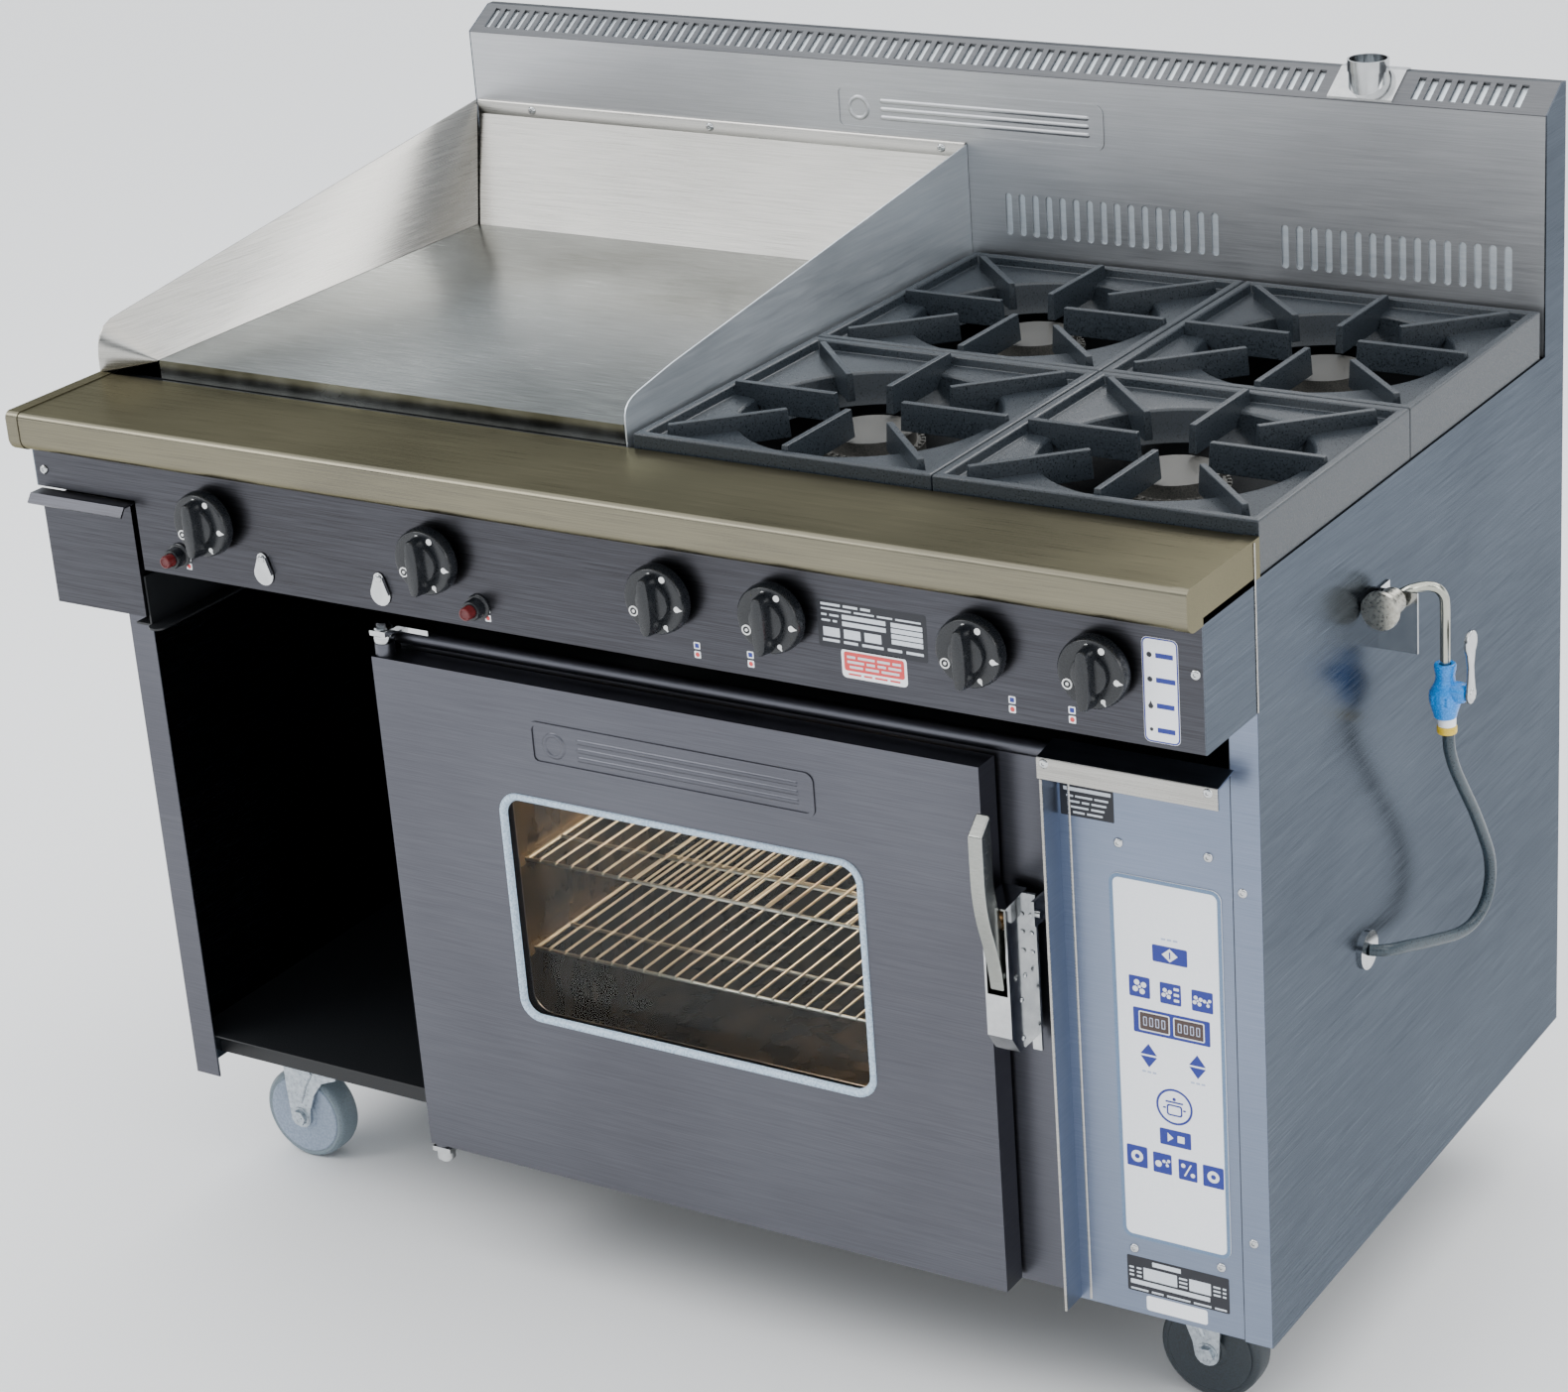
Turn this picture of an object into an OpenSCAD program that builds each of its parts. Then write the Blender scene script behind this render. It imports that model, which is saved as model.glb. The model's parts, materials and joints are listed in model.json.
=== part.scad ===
// Commercial gas range: griddle, four open burners and a convection oven on castors.
// Millimetres, Z up, front towards -Y, floor at Z = 0.

/* [Body] */
// Thickness of the stainless sheets
sheet = 1.5; // [1:0.1:1.5]
// Width of each vent slot in the top cap
vent_slot_width = 7; // [5:0.5:8]
// Width of each slot in the splashback
splash_slot_width = 7.5; // [5:0.5:9]
// Radius of the flue stub
flue_radius = 20; // [16:0.5:20]

/* [Hob] */
// Width of a pan support finger
finger_width = 7; // [5:0.5:9]
// Height of the fingers over the pan support rim
finger_rise = 4; // [2:0.5:6]
// Radius of the burner head
burner_head_radius = 48; // [40:1:52]
// Radius of the burner cap
burner_cap_radius = 40; // [30:1:40]

/* [Controls] */
// Radius of the knob skirt
knob_radius = 31; // [26:1:32]
// Width of the knob grip bar
knob_grip_width = 14; // [10:1:18]
// Radius of the igniter button
button_radius = 6; // [4:0.5:6]
// Outer radius of the igniter sleeve
igniter_sleeve_radius = 9; // [8:0.5:9]

/* [Oven] */
// Height of the lower rack above the floor
rack_lower_z = 308; // [290:1:320]
// Height of the upper rack above the floor
rack_upper_z = 404; // [390:1:420]
// Thickness of the rack bars
rack_bar = 4; // [3:0.5:5]
// Number of long bars in a rack
rack_bar_count = 27; // [15:2:31]

/* [Castors] */
// Width of the castor wheel
wheel_width = 32; // [26:1:34]

/* [Torch] */
// Diameter of the torch hose
hose_diameter = 11; // [8:0.5:11]

/* [Hidden] */
$fn = 48;
eps = 0.01;

// colours
stainless = [0.62, 0.62, 0.61];
bright = [0.78, 0.78, 0.76];
black = [0.06, 0.06, 0.06];
iron = [0.09, 0.09, 0.1];
zinc = [0.7, 0.7, 0.68];
brass_colour = [0.75, 0.6, 0.3];
blue = [0.1, 0.45, 0.75];
white = [0.92, 0.92, 0.92];
red = [0.75, 0.1, 0.1];

// overall body
body_w = 1220;
body_d = 672;
panel_bottom_z = 125;
shelf_z = 841;
splash_y = 625;
slot_count = 16;
slot_pitch = 15.2;
slot_h = 43;
slot_left = [652.5, 906];
slot_right = [955, 901];
splash_foot_z = 1070;
cap_front_y = 662;
cap_top_z = 1092;
inner_left = sheet;
inner_right = body_w - sheet;
flange_left = 30;
flange_right = 1193;
flange_top_z = 668;
cut = 1;

// lowest sheet metal and frame rails
rail_z0 = 130;
rail_z1 = 170;
rail_w = 30;
rail_wall = 2.5;
front_rail_y = 38;
rear_rail_y1 = body_d - sheet;
cross_x = 338;
gusset_reach = 190;
gusset_t = 4;

// griddle
plate_x0 = 60;
plate_x1 = 595;
plate_y0 = 28;
plate_y1 = 531;
hob_z = 888;
plate_t = 18;
griddle_box_z0 = 790;
box_wall = 2;
box_inset = 4;
shelf_reach = 50;
shelf_reach_right = 10;
shelf_drop = 8;
band_z0 = 982;
divider_x = 607;
guard_nose = [[10, 877], [13, 908], [22, 918]];
divider_profile = [[13, 868], [13, 901], [18, 912], [33, 918], [90, 928], [splash_y, 995],
  [splash_y, 880], [600, 868]];
band_h = 15;
band_gap = 3.5;
griddle_burner_x = [190, 465];
griddle_burner_z = 822;
griddle_burner_r = 14;
oven_burner_r = 12;
oven_burner_y = 300;
oven_burner_z = 150;
oven_burner_x1 = 900;

// hob
hob_x0 = 614.8;
hob_y0 = 12;
hob_pitch = 302.1;
trivet_gap = 1.2;
trivet_size = hob_pitch - trivet_gap;
trivet_wall = 7;
trivet_foot_z = shelf_z + 0.5;
trivet_rim = 9;
trivet_rim_t = 14;
trivet_eye_r = 118;
trivet_web_t = 5;
trivet_web_drop = 9;
bowl_wall = 4;
bowl_z0 = 848;
finger_depth = 28;
finger_step_r = 117;
side_finger = [33, 141];
corner_finger = [73, 182];
tray_z0 = 790;
tray_x0 = 612;
tray_y1 = 617.5;
tray_flange = 24;
stem_r = 16;
stem_hole_r = 18;
stem_z0 = 786;
head_z0 = 812;
head_z1 = 850;
cap_z1 = 862;
mixer_z = 775;
mixer_r = 10;
mixer_off = 30;
mixer_y0 = 4;
foot_h = 22;

// front rail
rail_front_y = -119;
rail_back_y = 10;
rail_top_z = 875;
rail_h = 37;
nose_top_r = 6;
nose_low_r = 12;
cap_w = 14;
cap_proud = 0.8;
cap_gap = 0.1;

// control panel
panel_y = -92.5;
panel_z0 = 727;
panel_z1 = rail_top_z - rail_h;
notch_x = 120;
notch_z = 795;
knob_x = [212, 466, 711, 825, 1016, 1128];
knob_z = 789;
knob_back_y = -96;
knob_skirt_y1 = -99;
knob_skirt_y0 = -112;
knob_front_y = -127;
knob_boss_r = 12;
spindle_r = 4;
spindle_gap = 0.3;
spindle_y0 = -118;
valve_w = 26;
valve_y0 = -88;
manifold_y = -46;
manifold_r = 12;
manifold_x0 = 150;
manifold_x1 = 1190;
supply_x = 560;
supply_z = 760;
supply_r = 10;
inlet_r = 13.2;
inlet_y1 = 712;
inlet_hole_gap = 4;
igniter_x = [167, 509.5];
igniter_z = 748;
button_y0 = -115;
button_y1 = -92;
button_gap = 0.3;
sleeve_y0 = -106;
sleeve_y1 = -82;
sleeve_floor = 2;
collar_r = 12;
collar_t = 2.5;
panel_hole_gap = 0.5;
port_x = [266.5, 400.5];
port_z = 759;
port_drop = 15;
port_half = 6;
flap_r = 11;
flap_pivot_r = 6;
flap_t = 1.5;
flap_y1 = panel_y - 0.3;
rivet_r = 2;
rivet_head_r = 3.6;
rivet_head_t = 1.2;

// grease drawer
drawer_x0 = 3;
drawer_x1 = 112;
drawer_z0 = 678;
drawer_z1 = 791;
drawer_y0 = -91.5;
drawer_y1 = 400;
drawer_side_z1 = 780;
lip_y0 = -112;
lip_drop = 8;
lip_lean = 6;
lip_x1 = 118;
runner_x1 = 132;
runner_z0 = 668;
runner_t = 2;
runner_y0 = -88.5;
runner_y1 = 460;
runner_lap = 16;
guide_gap = 1;
guide_z1 = 718;
runner_corner = 9;
ledge_x1 = 21;
ledge_z0 = 675.8;

// oven
cavity_x0 = 380;
cavity_x1 = 920;
cavity_y1 = 560;
cavity_z0 = 172;
cavity_z1 = 632;
liner_t = 2;
ledge_w = 11;
frame_x0 = 337;
frame_x1 = 1029;
frame_z0 = 132;
frame_z1 = 669;
frame_t = 3;
trim_r = 8;
casing_y1 = 600;
floor_gap = 0.2;
rack_x0 = 392;
rack_x1 = 908;
rack_y0 = 80;
rack_y1 = 540;
rack_cross = 57;
rack_rise = 2;
ledge_pitch = 96;
ledge_lap = 6;
ledge_front = 40;
ledge_t = 2.5;
rack_clear = 0.5;

// control compartment
cover_x0 = 1030;
cover_z0 = 127;
cover_z1 = 672;
fin_y0 = -28;
fin_z0 = 129;
fin_z1 = 647;
hood_x1 = 1197;
hood_y0 = -30;
hood_z1 = 673;
hood_front_z = 668;
hood_lip_z = 649;
hood_gap = 0.1;
pad_x0 = 1077;
pad_x1 = 1182;
pad_z0 = 205;
pad_z1 = 559;
pad_t = 1.2;
pad_corner = 9;

// door
door_x0 = 327;
door_x1 = 973;
door_z0 = 135;
door_z1 = 649;
door_y0 = -31.5;
door_y1 = -4;
hinge_x = 335;
hinge_y = -20;
hinge_pin_r = 6;
hinge_bore_r = 6.3;
boss_r = 9.5;
boss_h = 12;
hinge_arm_t = 5;
hinge_half = 9;
hinge_reach = 44;
hinge_tab_y0 = -10;
pin_length = 25;
pin_foot_z = 113;
pin_collar_z = 116;
lug_h = 35;
lug_reach = 12;
keeper_y0 = -24;
keeper_z = [504, 528];
keeper_pin = [-20, 516];
keeper_pin_r = 4;
keeper_pin_l = 5;
keeper_t = 3;
win_x0 = 458;
win_x1 = 850;
win_z0 = 301;
win_z1 = 537;
win_corner = 22;
gasket_w = 7;
pane_t = 4;
pane_lap = 12;
liner_hinge_gap = 14;
liner_depth = 15;
liner_drop = 40;
liner_win_gap = 4;
seal_out = 20;
seal_w = 12;
seal_low = 15;
seal_high = 40;
seal_gap = 0.3;
badge_door = [501, 806, 571, 614];
badge_splash = [457, 763, 1000, 1046];
badge_line = 4;
badge_rise = 1.2;
badge_corner = 9;

// latch and handle
case_x0 = 979;
case_x1 = 1003;
case_y0 = -50;
case_y1 = -12;
case_z0 = 388;
case_z1 = 534;
case_wall = 2;
case_nose_z = 406;
slot_low_z = 412;
slot_split_z = 446;
case_plate_x1 = 1012;
keeper_x0 = case_plate_x1 + 1;
lever_x0 = 984;
lever_x1 = 998;
lever_pivot = [-38, 460];
lever_pin_r = 3;
lever_profile = [[-52, 450], [-54, 470], [-60, 494], [-69, 522], [-74, 548], [-75, 575], [-75, 606],
  [-58, 622], [-57, 560], [-54, 540], [-46, 510], [-40, 490], [-32, 480], [-32, 452]];
roller_r = 8;
roller_z = 512;
roller_y = -36;

// castors
castor_x = [106, 1078];
castor_y = [91.5, 582];
wheel_r = 50;
castor_trail = 40;
castor_plate_t = 4;
castor_plate_z0 = rail_z0 - castor_plate_t;
race_r = 26;
race_z0 = 116;
bolt_r = 4;
bolt_head_r = 7.5;
bolt_head_h = 5;
bolt_pitch = 62;
castor_plate_w = 86;
fork_gap = 1.5;
fork_t = 3;
fork_top_z = 115.7;
axle_r = 5;
axle_gap = 0.3;
race_lip = 4;
crown_reach = 14;
crown_drop = [8, 3];
nut_r = 9;
nut_h = 5;
hub_rim = 15;
tread_chamfer = 3;

// torch and hose
torch_x = 1265;
bracket_y = 238;
bracket_x1 = 1257;
torch_tube_r = 4.5;
head_x = 1238;
head_z = 744;
head_disc_r = 17.5;
bend_y = 262;
bend_z0 = 737;
bend_z1 = 751;
cock_y = 279;
cock_z0 = 621;
cock_z1 = 671;
cock_end = 12;
cock_r = [11, 15, 10];
nipple_r = 9;
head_y = [200, 206, 232];
head_neck_r = 12;
elbow_r = 6;
bonnet_r = 8;
bracket_z = [694, 750];
bracket_t = 2;
bracket_foot = 22;
spoon_r = 12;
spoon_t = 4;
hub_r = 9;
arm_half = 6;
lever_outer_x = 1292;
lever_inner_x = 1286.5;
spoon_z = 694;
pivot_z = 646;
hose_r = hose_diameter / 2;
hose_top = [1268, 279, 606];
grommet = [1220, 207, 418];
grommet_r = 18;
grommet_hole_r = 12;
grommet_neck_r = 11;
grommet_neck = 10;
grommet_flange = 3;
grommet_floor = 4;
hose_gap = 2;

// frame shift: centre of the outline, hose left out
ox = (0 + lever_outer_x) / 2;
oy = (knob_front_y + inlet_y1) / 2;

module place() {
  translate([-ox, -oy, 0])
    children();
}

// box from its lower to its upper corner
module bar(x0, x1, y0, y1, z0, z1) {
  translate([x0, y0, z0])
    cube([x1 - x0, y1 - y0, z1 - z0]);
}

// round bar along Y
module rod_y(x, z, y0, y1, r) {
  translate([x, y0, z])
    rotate([-90, 0, 0])
      cylinder(r = r, h = y1 - y0);
}

// round bar along X
module rod_x(y, z, x0, x1, r) {
  translate([x0, y, z])
    rotate([0, 90, 0])
      cylinder(r = r, h = x1 - x0);
}

// round bar along Z
module rod_z(x, y, z0, z1, r) {
  translate([x, y, z0])
    cylinder(r = r, h = z1 - z0);
}

// plate in the XZ plane with round corners, thickness from y0 to y1
module round_plate(x0, x1, y0, y1, z0, z1, r) {
  bar(x0 + r, x1 - r, y0, y1, z0, z1);
  bar(x0, x1, y0, y1, z0 + r, z1 - r);
  for (x = [x0 + r, x1 - r], z = [z0 + r, z1 - r])
    rod_y(x, z, y0, y1, r);
}

// raised outline with round corners
module raised_frame(b, y0, y1) {
  difference() {
    round_plate(b[0], b[1], y0, y1, b[2], b[3], badge_corner);
    round_plate(b[0] + badge_line, b[1] - badge_line, y0 - 1, y1 + 1,
      b[2] + badge_line, b[3] - badge_line, badge_corner - badge_line);
  }
}

// profile drawn in (Y, Z), pulled from x0 to x1
module pull_x(x0, x1, points) {
  translate([x0, 0, 0])
    rotate([90, 0, 90])
      linear_extrude(height = x1 - x0)
        polygon(points);
}

module base_frame() {
  color(black)
    place()
      difference() {
        union() {
          bar(inner_left, inner_left + rail_w, front_rail_y, rear_rail_y1, rail_z0, rail_z1);
          bar(inner_right - rail_w, inner_right, front_rail_y, rear_rail_y1, rail_z0, rail_z1);
          bar(cross_x, cross_x + rail_w, front_rail_y, rear_rail_y1, rail_z0, rail_z1);
          bar(inner_left, inner_right, front_rail_y, front_rail_y + rail_w, rail_z0, rail_z1);
          bar(inner_left, inner_right, rear_rail_y1 - rail_w, rear_rail_y1, rail_z0, rail_z1);
          for (x = [inner_left, inner_right - gusset_reach])
            for (y = [front_rail_y, rear_rail_y1 - gusset_reach + rail_w])
              bar(x, x + gusset_reach, y, y + gusset_reach - rail_w, rail_z0, rail_z0 + gusset_t);
        }
        for (x = [inner_left, inner_right - rail_w, cross_x])
          bar(x + rail_wall, x + rail_w - rail_wall, front_rail_y + rail_w, rear_rail_y1 - rail_w,
            rail_z0 + gusset_t, rail_z1 - rail_wall);
        bar(cross_x + rail_wall, cross_x + rail_w - rail_wall, front_rail_y + rail_w,
          rear_rail_y1 - rail_w, rail_z0 - 1, rail_z0 + gusset_t + 1);
        for (y = [front_rail_y, rear_rail_y1 - rail_w])
          bar(inner_left + gusset_reach, inner_right - gusset_reach, y + rail_wall,
            y + rail_w - rail_wall, rail_z0 - 1, rail_z1 - rail_wall);
        for (x = castor_x, y = castor_y)
          for (dx = [-1, 1], dy = [-1, 1])
            rod_z(x + dx * bolt_pitch / 2, y + dy * bolt_pitch / 2, rail_z0 - 1,
              rail_z0 + gusset_t + 1, bolt_r + panel_hole_gap);
      }
}

side_profile = [[0, panel_bottom_z], [body_d, panel_bottom_z], [body_d, cap_top_z],
  [cap_front_y, cap_top_z], [splash_y, splash_foot_z], [splash_y, shelf_z], [0, shelf_z]];

module side_panel_left() {
  color(stainless)
    place() {
      pull_x(0, sheet, side_profile);
      bar(0, sheet, panel_y, 0, notch_z, panel_z1);
      bar(sheet, flange_left, 0, sheet, panel_bottom_z, flange_top_z);
    }
}

module side_panel_right() {
  color(stainless)
    place()
      difference() {
        union() {
          pull_x(inner_right, body_w, side_profile);
          bar(inner_right, body_w, panel_y, 0, panel_z0, panel_z1);
          bar(flange_right, inner_right, 0, sheet, panel_bottom_z, panel_z0);
        }
        rod_x(grommet[1], grommet[2], inner_right - cut, body_w + cut, grommet_hole_r);
      }
}

module rear_panel() {
  color(stainless)
    place()
      difference() {
        bar(inner_left, inner_right, body_d - sheet, body_d, panel_bottom_z, cap_top_z - sheet);
        rod_y(supply_x, supply_z, body_d - sheet - cut, body_d + cut, inlet_r + inlet_hole_gap);
      }
}

// row of upright slots in the splashback, from the foot of its first slot
module splash_slots(start) {
  for (i = [0:slot_count - 1]) {
    x = start[0] + i * slot_pitch;
    round_plate(x - splash_slot_width / 2, x + splash_slot_width / 2, splash_y - cut,
      splash_y + sheet + cut, start[1], start[1] + slot_h, splash_slot_width / 2 - eps);
  }
}

module splashback() {
  color(stainless)
    place() {
      difference() {
        bar(inner_left, inner_right, splash_y, splash_y + sheet, shelf_z, splash_foot_z - 1);
        splash_slots(slot_left);
        splash_slots(slot_right);
      }
      raised_frame(badge_splash, splash_y - badge_rise, splash_y);
    }
}

// vent cap
vent_pitch = 12.7;
vent_first = 19;
vent_count = 93;
flue_x = 1033.5;
flue_y = 648;
flue_plate_w = 66;
vent_y0 = splash_y + 7;
vent_y1 = cap_front_y - 5;
vent_cut = 10;
flue_hole_gap = 0.6;
flue_step = 1;
flue_foot_z = 1074;
flange_t = 1.5;
flange_nose = 0.8;
// rise of the sloping cap per millimetre of depth
cap_slope = (cap_top_z - splash_foot_z) / (cap_front_y - splash_y);

module vent_cap() {
  color(stainless)
    place()
      difference() {
        pull_x(inner_left, inner_right, [[splash_y, splash_foot_z - 1],
          [splash_y, splash_foot_z], [cap_front_y, cap_top_z], [body_d, cap_top_z],
          [body_d, cap_top_z - sheet], [cap_front_y + 0.4, cap_top_z - sheet],
          [splash_y + sheet, splash_foot_z - 1]]);
        for (i = [0:vent_count - 1])
          if (abs(vent_first + i * vent_pitch - flue_x) > flue_plate_w / 2 + vent_slot_width)
            bar(vent_first + i * vent_pitch - vent_slot_width / 2,
              vent_first + i * vent_pitch + vent_slot_width / 2,
              vent_y0, vent_y1, splash_foot_z - vent_cut, cap_top_z + vent_cut);
        rod_z(flue_x, flue_y, splash_foot_z - vent_cut, cap_top_z + vent_cut, flue_radius + flue_hole_gap);
      }
}

flue_top_z = 1105.5;
flue_pin_z0 = 1094.5;
flue_wall = 2;

module flue_spigot() {
  color(bright)
    place()
      difference() {
        union() {
          pull_x(flue_x - flue_plate_w / 2, flue_x + flue_plate_w / 2,
            [[splash_y + 1, splash_foot_z + cap_slope], [cap_front_y, cap_top_z],
            [body_d, cap_top_z], [body_d, cap_top_z + flange_t],
            [cap_front_y - flange_nose, cap_top_z + flange_t],
            [splash_y + 1, splash_foot_z + cap_slope + 2]]);
          rod_z(flue_x, flue_y, flue_foot_z, flue_pin_z0, flue_radius - flue_step);
          rod_z(flue_x, flue_y, flue_pin_z0, flue_top_z, flue_radius);
        }
        rod_z(flue_x, flue_y, splash_foot_z - vent_cut, flue_top_z + cut, flue_radius - flue_wall);
      }
}

module griddle_plate() {
  color(bright)
    place()
      bar(plate_x0, plate_x1, plate_y0, plate_y1, hob_z - plate_t, hob_z);
}

// burner box under the griddle plate, with the shelf that carries its front edge
module griddle_burner_box() {
  difference() {
    union() {
      bar(plate_x0 + box_inset, plate_x1 - box_inset, plate_y0 + box_inset, plate_y1 - box_inset,
        griddle_box_z0, hob_z - plate_t);
      bar(plate_x0 - shelf_reach, plate_x1 + shelf_reach_right, rail_back_y, plate_y0 + box_inset,
        rail_top_z - shelf_drop, rail_top_z - shelf_drop + box_wall);
    }
    bar(plate_x0 + box_inset + box_wall, plate_x1 - box_inset - box_wall,
      plate_y0 + box_inset + box_wall, plate_y1 - box_inset - box_wall, griddle_box_z0 - cut, hob_z);
  }
}

// runner, side guide, rounded front corner, left ledge and end stop of the grease drawer
module drawer_runners() {
  bar(drawer_x1 - runner_lap, runner_x1, runner_y0, runner_y1, runner_z0, runner_z0 + runner_t);
  bar(drawer_x1 + guide_gap, drawer_x1 + guide_gap + runner_t, runner_y0, runner_y1,
    runner_z0 + runner_t, guide_z1);
  rod_z(runner_x1 - runner_corner, runner_y0, runner_z0, runner_z0 + runner_t, runner_corner);
  bar(inner_left, ledge_x1, sheet, runner_y1, ledge_z0, ledge_z0 + runner_t);
  bar(inner_left, runner_x1, runner_y1, runner_y1 + runner_t, runner_z0, griddle_box_z0 - 1);
}

module griddle_box() {
  color(black)
    place() {
      griddle_burner_box();
      drawer_runners();
    }
}

// left guard: skirt along the body edge and a flared sheet down to the plate
guard_top = [[33, 922], [splash_y - 1.5, 996]];
flare_steps = 8;
flare_sheet = [1.0, 0, 1.1];

function mix(a, b, t) = a + (b - a) * t;
flare_low = [for (i = [0:flare_steps])
  [plate_x0 - 0.5, mix(plate_y0, plate_y1, i / flare_steps), hob_z + 0.2]];
flare_high = [for (i = [0:flare_steps])
  [sheet + 0.4, mix(guard_top[0][0], guard_top[1][0], i / flare_steps),
  mix(guard_top[0][1], guard_top[1][1], i / flare_steps)]];
flare_nose = [for (p = [guard_nose[2], guard_nose[1], guard_nose[0]]) [sheet + 0.4, p[0], p[1]]];
flare_front = concat(flare_low, flare_high, flare_nose);
flare_n = len(flare_front);
flare_points = concat(flare_front, [for (p = flare_front) p - flare_sheet]);
flare_tri = concat(
  [for (i = [0:flare_steps - 1]) [i, flare_steps + 1 + i, flare_steps + 2 + i]],
  [for (i = [0:flare_steps - 1]) [i, flare_steps + 2 + i, i + 1]],
  [[0, 2 * flare_steps + 2, flare_steps + 1],
  [0, 2 * flare_steps + 3, 2 * flare_steps + 2],
  [0, 2 * flare_steps + 4, 2 * flare_steps + 3]]);
flare_rim = concat([for (i = [0:flare_steps]) i],
  [for (i = [flare_steps:-1:0]) flare_steps + 1 + i],
  [2 * flare_steps + 2, 2 * flare_steps + 3, 2 * flare_steps + 4]);
flare_faces = concat(flare_tri,
  [for (f = flare_tri) [f[2] + flare_n, f[1] + flare_n, f[0] + flare_n]],
  [for (i = [0:len(flare_rim) - 1])
    [flare_rim[i], flare_rim[(i + 1) % len(flare_rim)], flare_rim[(i + 1) % len(flare_rim)] + flare_n]],
  [for (i = [0:len(flare_rim) - 1])
    [flare_rim[i], flare_rim[(i + 1) % len(flare_rim)] + flare_n, flare_rim[i] + flare_n]]);

module left_guard() {
  pull_x(0, sheet, concat([[guard_nose[0][0], shelf_z]], guard_nose, guard_top,
    [[splash_y - 1.5, shelf_z]]));
  polyhedron(points = flare_points, faces = flare_faces);
}

// flares up to a flat band under the splashback, mitred against the left guard
module rear_guard() {
  intersection() {
    pull_x(sheet + 1, divider_x, [[plate_y1 + 0.5, hob_z], [splash_y - band_gap, band_z0],
      [splash_y - band_gap, band_z0 + band_h], [splash_y, band_z0 + band_h],
      [splash_y, band_z0 + band_h - sheet], [splash_y - band_gap + sheet, band_z0 + band_h - sheet],
      [splash_y - band_gap + sheet, band_z0 - 1], [plate_y1 + 2, hob_z - 0.6]]);
    translate([0, 0, hob_z - 20])
      linear_extrude(height = 200)
        polygon([[plate_x0 + 1.5, plate_y1], [divider_x, plate_y1], [divider_x, splash_y],
          [sheet + 2.2, splash_y], [sheet + 2.2, splash_y - 1]]);
  }
}

// stands between the griddle and the hob
module divider() {
  pull_x(divider_x, divider_x + sheet, divider_profile);
}

module griddle_guards() {
  color(stainless)
    place() {
      left_guard();
      rear_guard();
      divider();
    }
}

// straight burners under the griddle and under the oven
module tube_burners() {
  for (x = griddle_burner_x)
    rod_y(x, griddle_burner_z, plate_y0 + box_inset + box_wall, plate_y1 - box_inset - box_wall,
      griddle_burner_r);
  rod_x(oven_burner_y, oven_burner_z, cross_x + rail_w, oven_burner_x1, oven_burner_r);
}

hob_cx = [hob_x0 + hob_pitch / 2, hob_x0 + 1.5 * hob_pitch];
hob_cy = [hob_y0 + hob_pitch / 2, hob_y0 + 1.5 * hob_pitch];

module spill_tray() {
  color(black)
    place()
      difference() {
        bar(tray_x0, inner_right, rail_back_y + 1, tray_y1, tray_z0, shelf_z);
        bar(tray_x0 + tray_flange + sheet, inner_right - tray_flange - sheet,
          rail_back_y + 1 + tray_flange + sheet, tray_y1 - tray_flange - sheet,
          tray_z0 + sheet, shelf_z + 1);
        difference() {
          bar(tray_x0 - 1, inner_right + 1, rail_back_y, tray_y1 + 1, tray_z0 - 1, shelf_z - sheet);
          bar(tray_x0 + tray_flange, inner_right - tray_flange, rail_back_y + 1 + tray_flange,
            tray_y1 - tray_flange, tray_z0 - 2, shelf_z);
        }
        for (x = hob_cx, y = hob_cy)
          rod_z(x, y, tray_z0 - 1, tray_z0 + sheet + 1, stem_hole_r);
      }
}

// open burner head and cap on a stem, with the foot and the mixing tube to its gas tap
module hob_burner(x, y, side) {
  tube_x = x + side * mixer_off;
  rod_z(x, y, stem_z0, head_z0, stem_r);
  rod_z(x, y, head_z0, head_z1, burner_head_radius);
  rod_z(x, y, head_z1, cap_z1, burner_cap_radius);
  bar(min(x, tube_x) - stem_r, max(x, tube_x) + stem_r, y - stem_r, y + stem_r, stem_z0 - foot_h, stem_z0);
  rod_y(tube_x, mixer_z, mixer_y0, y, mixer_r);
}

module burners() {
  color(zinc)
    place() {
      tube_burners();
      for (x = hob_cx) {
        hob_burner(x, hob_cy[0], -1);
        hob_burner(x, hob_cy[1], 1);
      }
    }
}

// flat nose with a round top and bottom edge, grown by g all round, back to y1
module rail_solid(x0, x1, y1, g) {
  rod_x(rail_front_y + nose_top_r, rail_top_z - nose_top_r, x0, x1, nose_top_r + g);
  rod_x(rail_front_y + nose_low_r, panel_z1 + nose_low_r, x0, x1, nose_low_r + g);
  bar(x0, x1, rail_front_y - g, y1, panel_z1 + nose_low_r, rail_top_z - nose_top_r);
  bar(x0, x1, rail_front_y + nose_top_r, y1, rail_top_z - nose_top_r - eps, rail_top_z + g);
  bar(x0, x1, rail_front_y + nose_low_r, y1, panel_z1 - g, panel_z1 + nose_low_r + eps);
}

// folded sheet, open below behind the control panel
module rail_sheet() {
  difference() {
    rail_solid(cap_w, body_w - cap_w, rail_back_y, 0);
    rail_solid(cap_w - cut, body_w, rail_back_y + cut, -sheet);
    bar(cap_w - cut, body_w, panel_y + sheet, rail_back_y + cut, panel_z1 - cut, rail_top_z - sheet);
  }
}

// solid end cap from x0 to x1, hooked over the side panel
module rail_end_cap(x0, x1) {
  difference() {
    rail_solid(x0, x1, rail_back_y, cap_proud);
    bar(x0 - 1, x1 + 1, panel_y, rail_back_y + 1, panel_z1 - 1, shelf_z + 0.2);
    bar(x0 - 1, x1 + 1, panel_y, 0, panel_z1 - 1, shelf_z + 3);
  }
}

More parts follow.
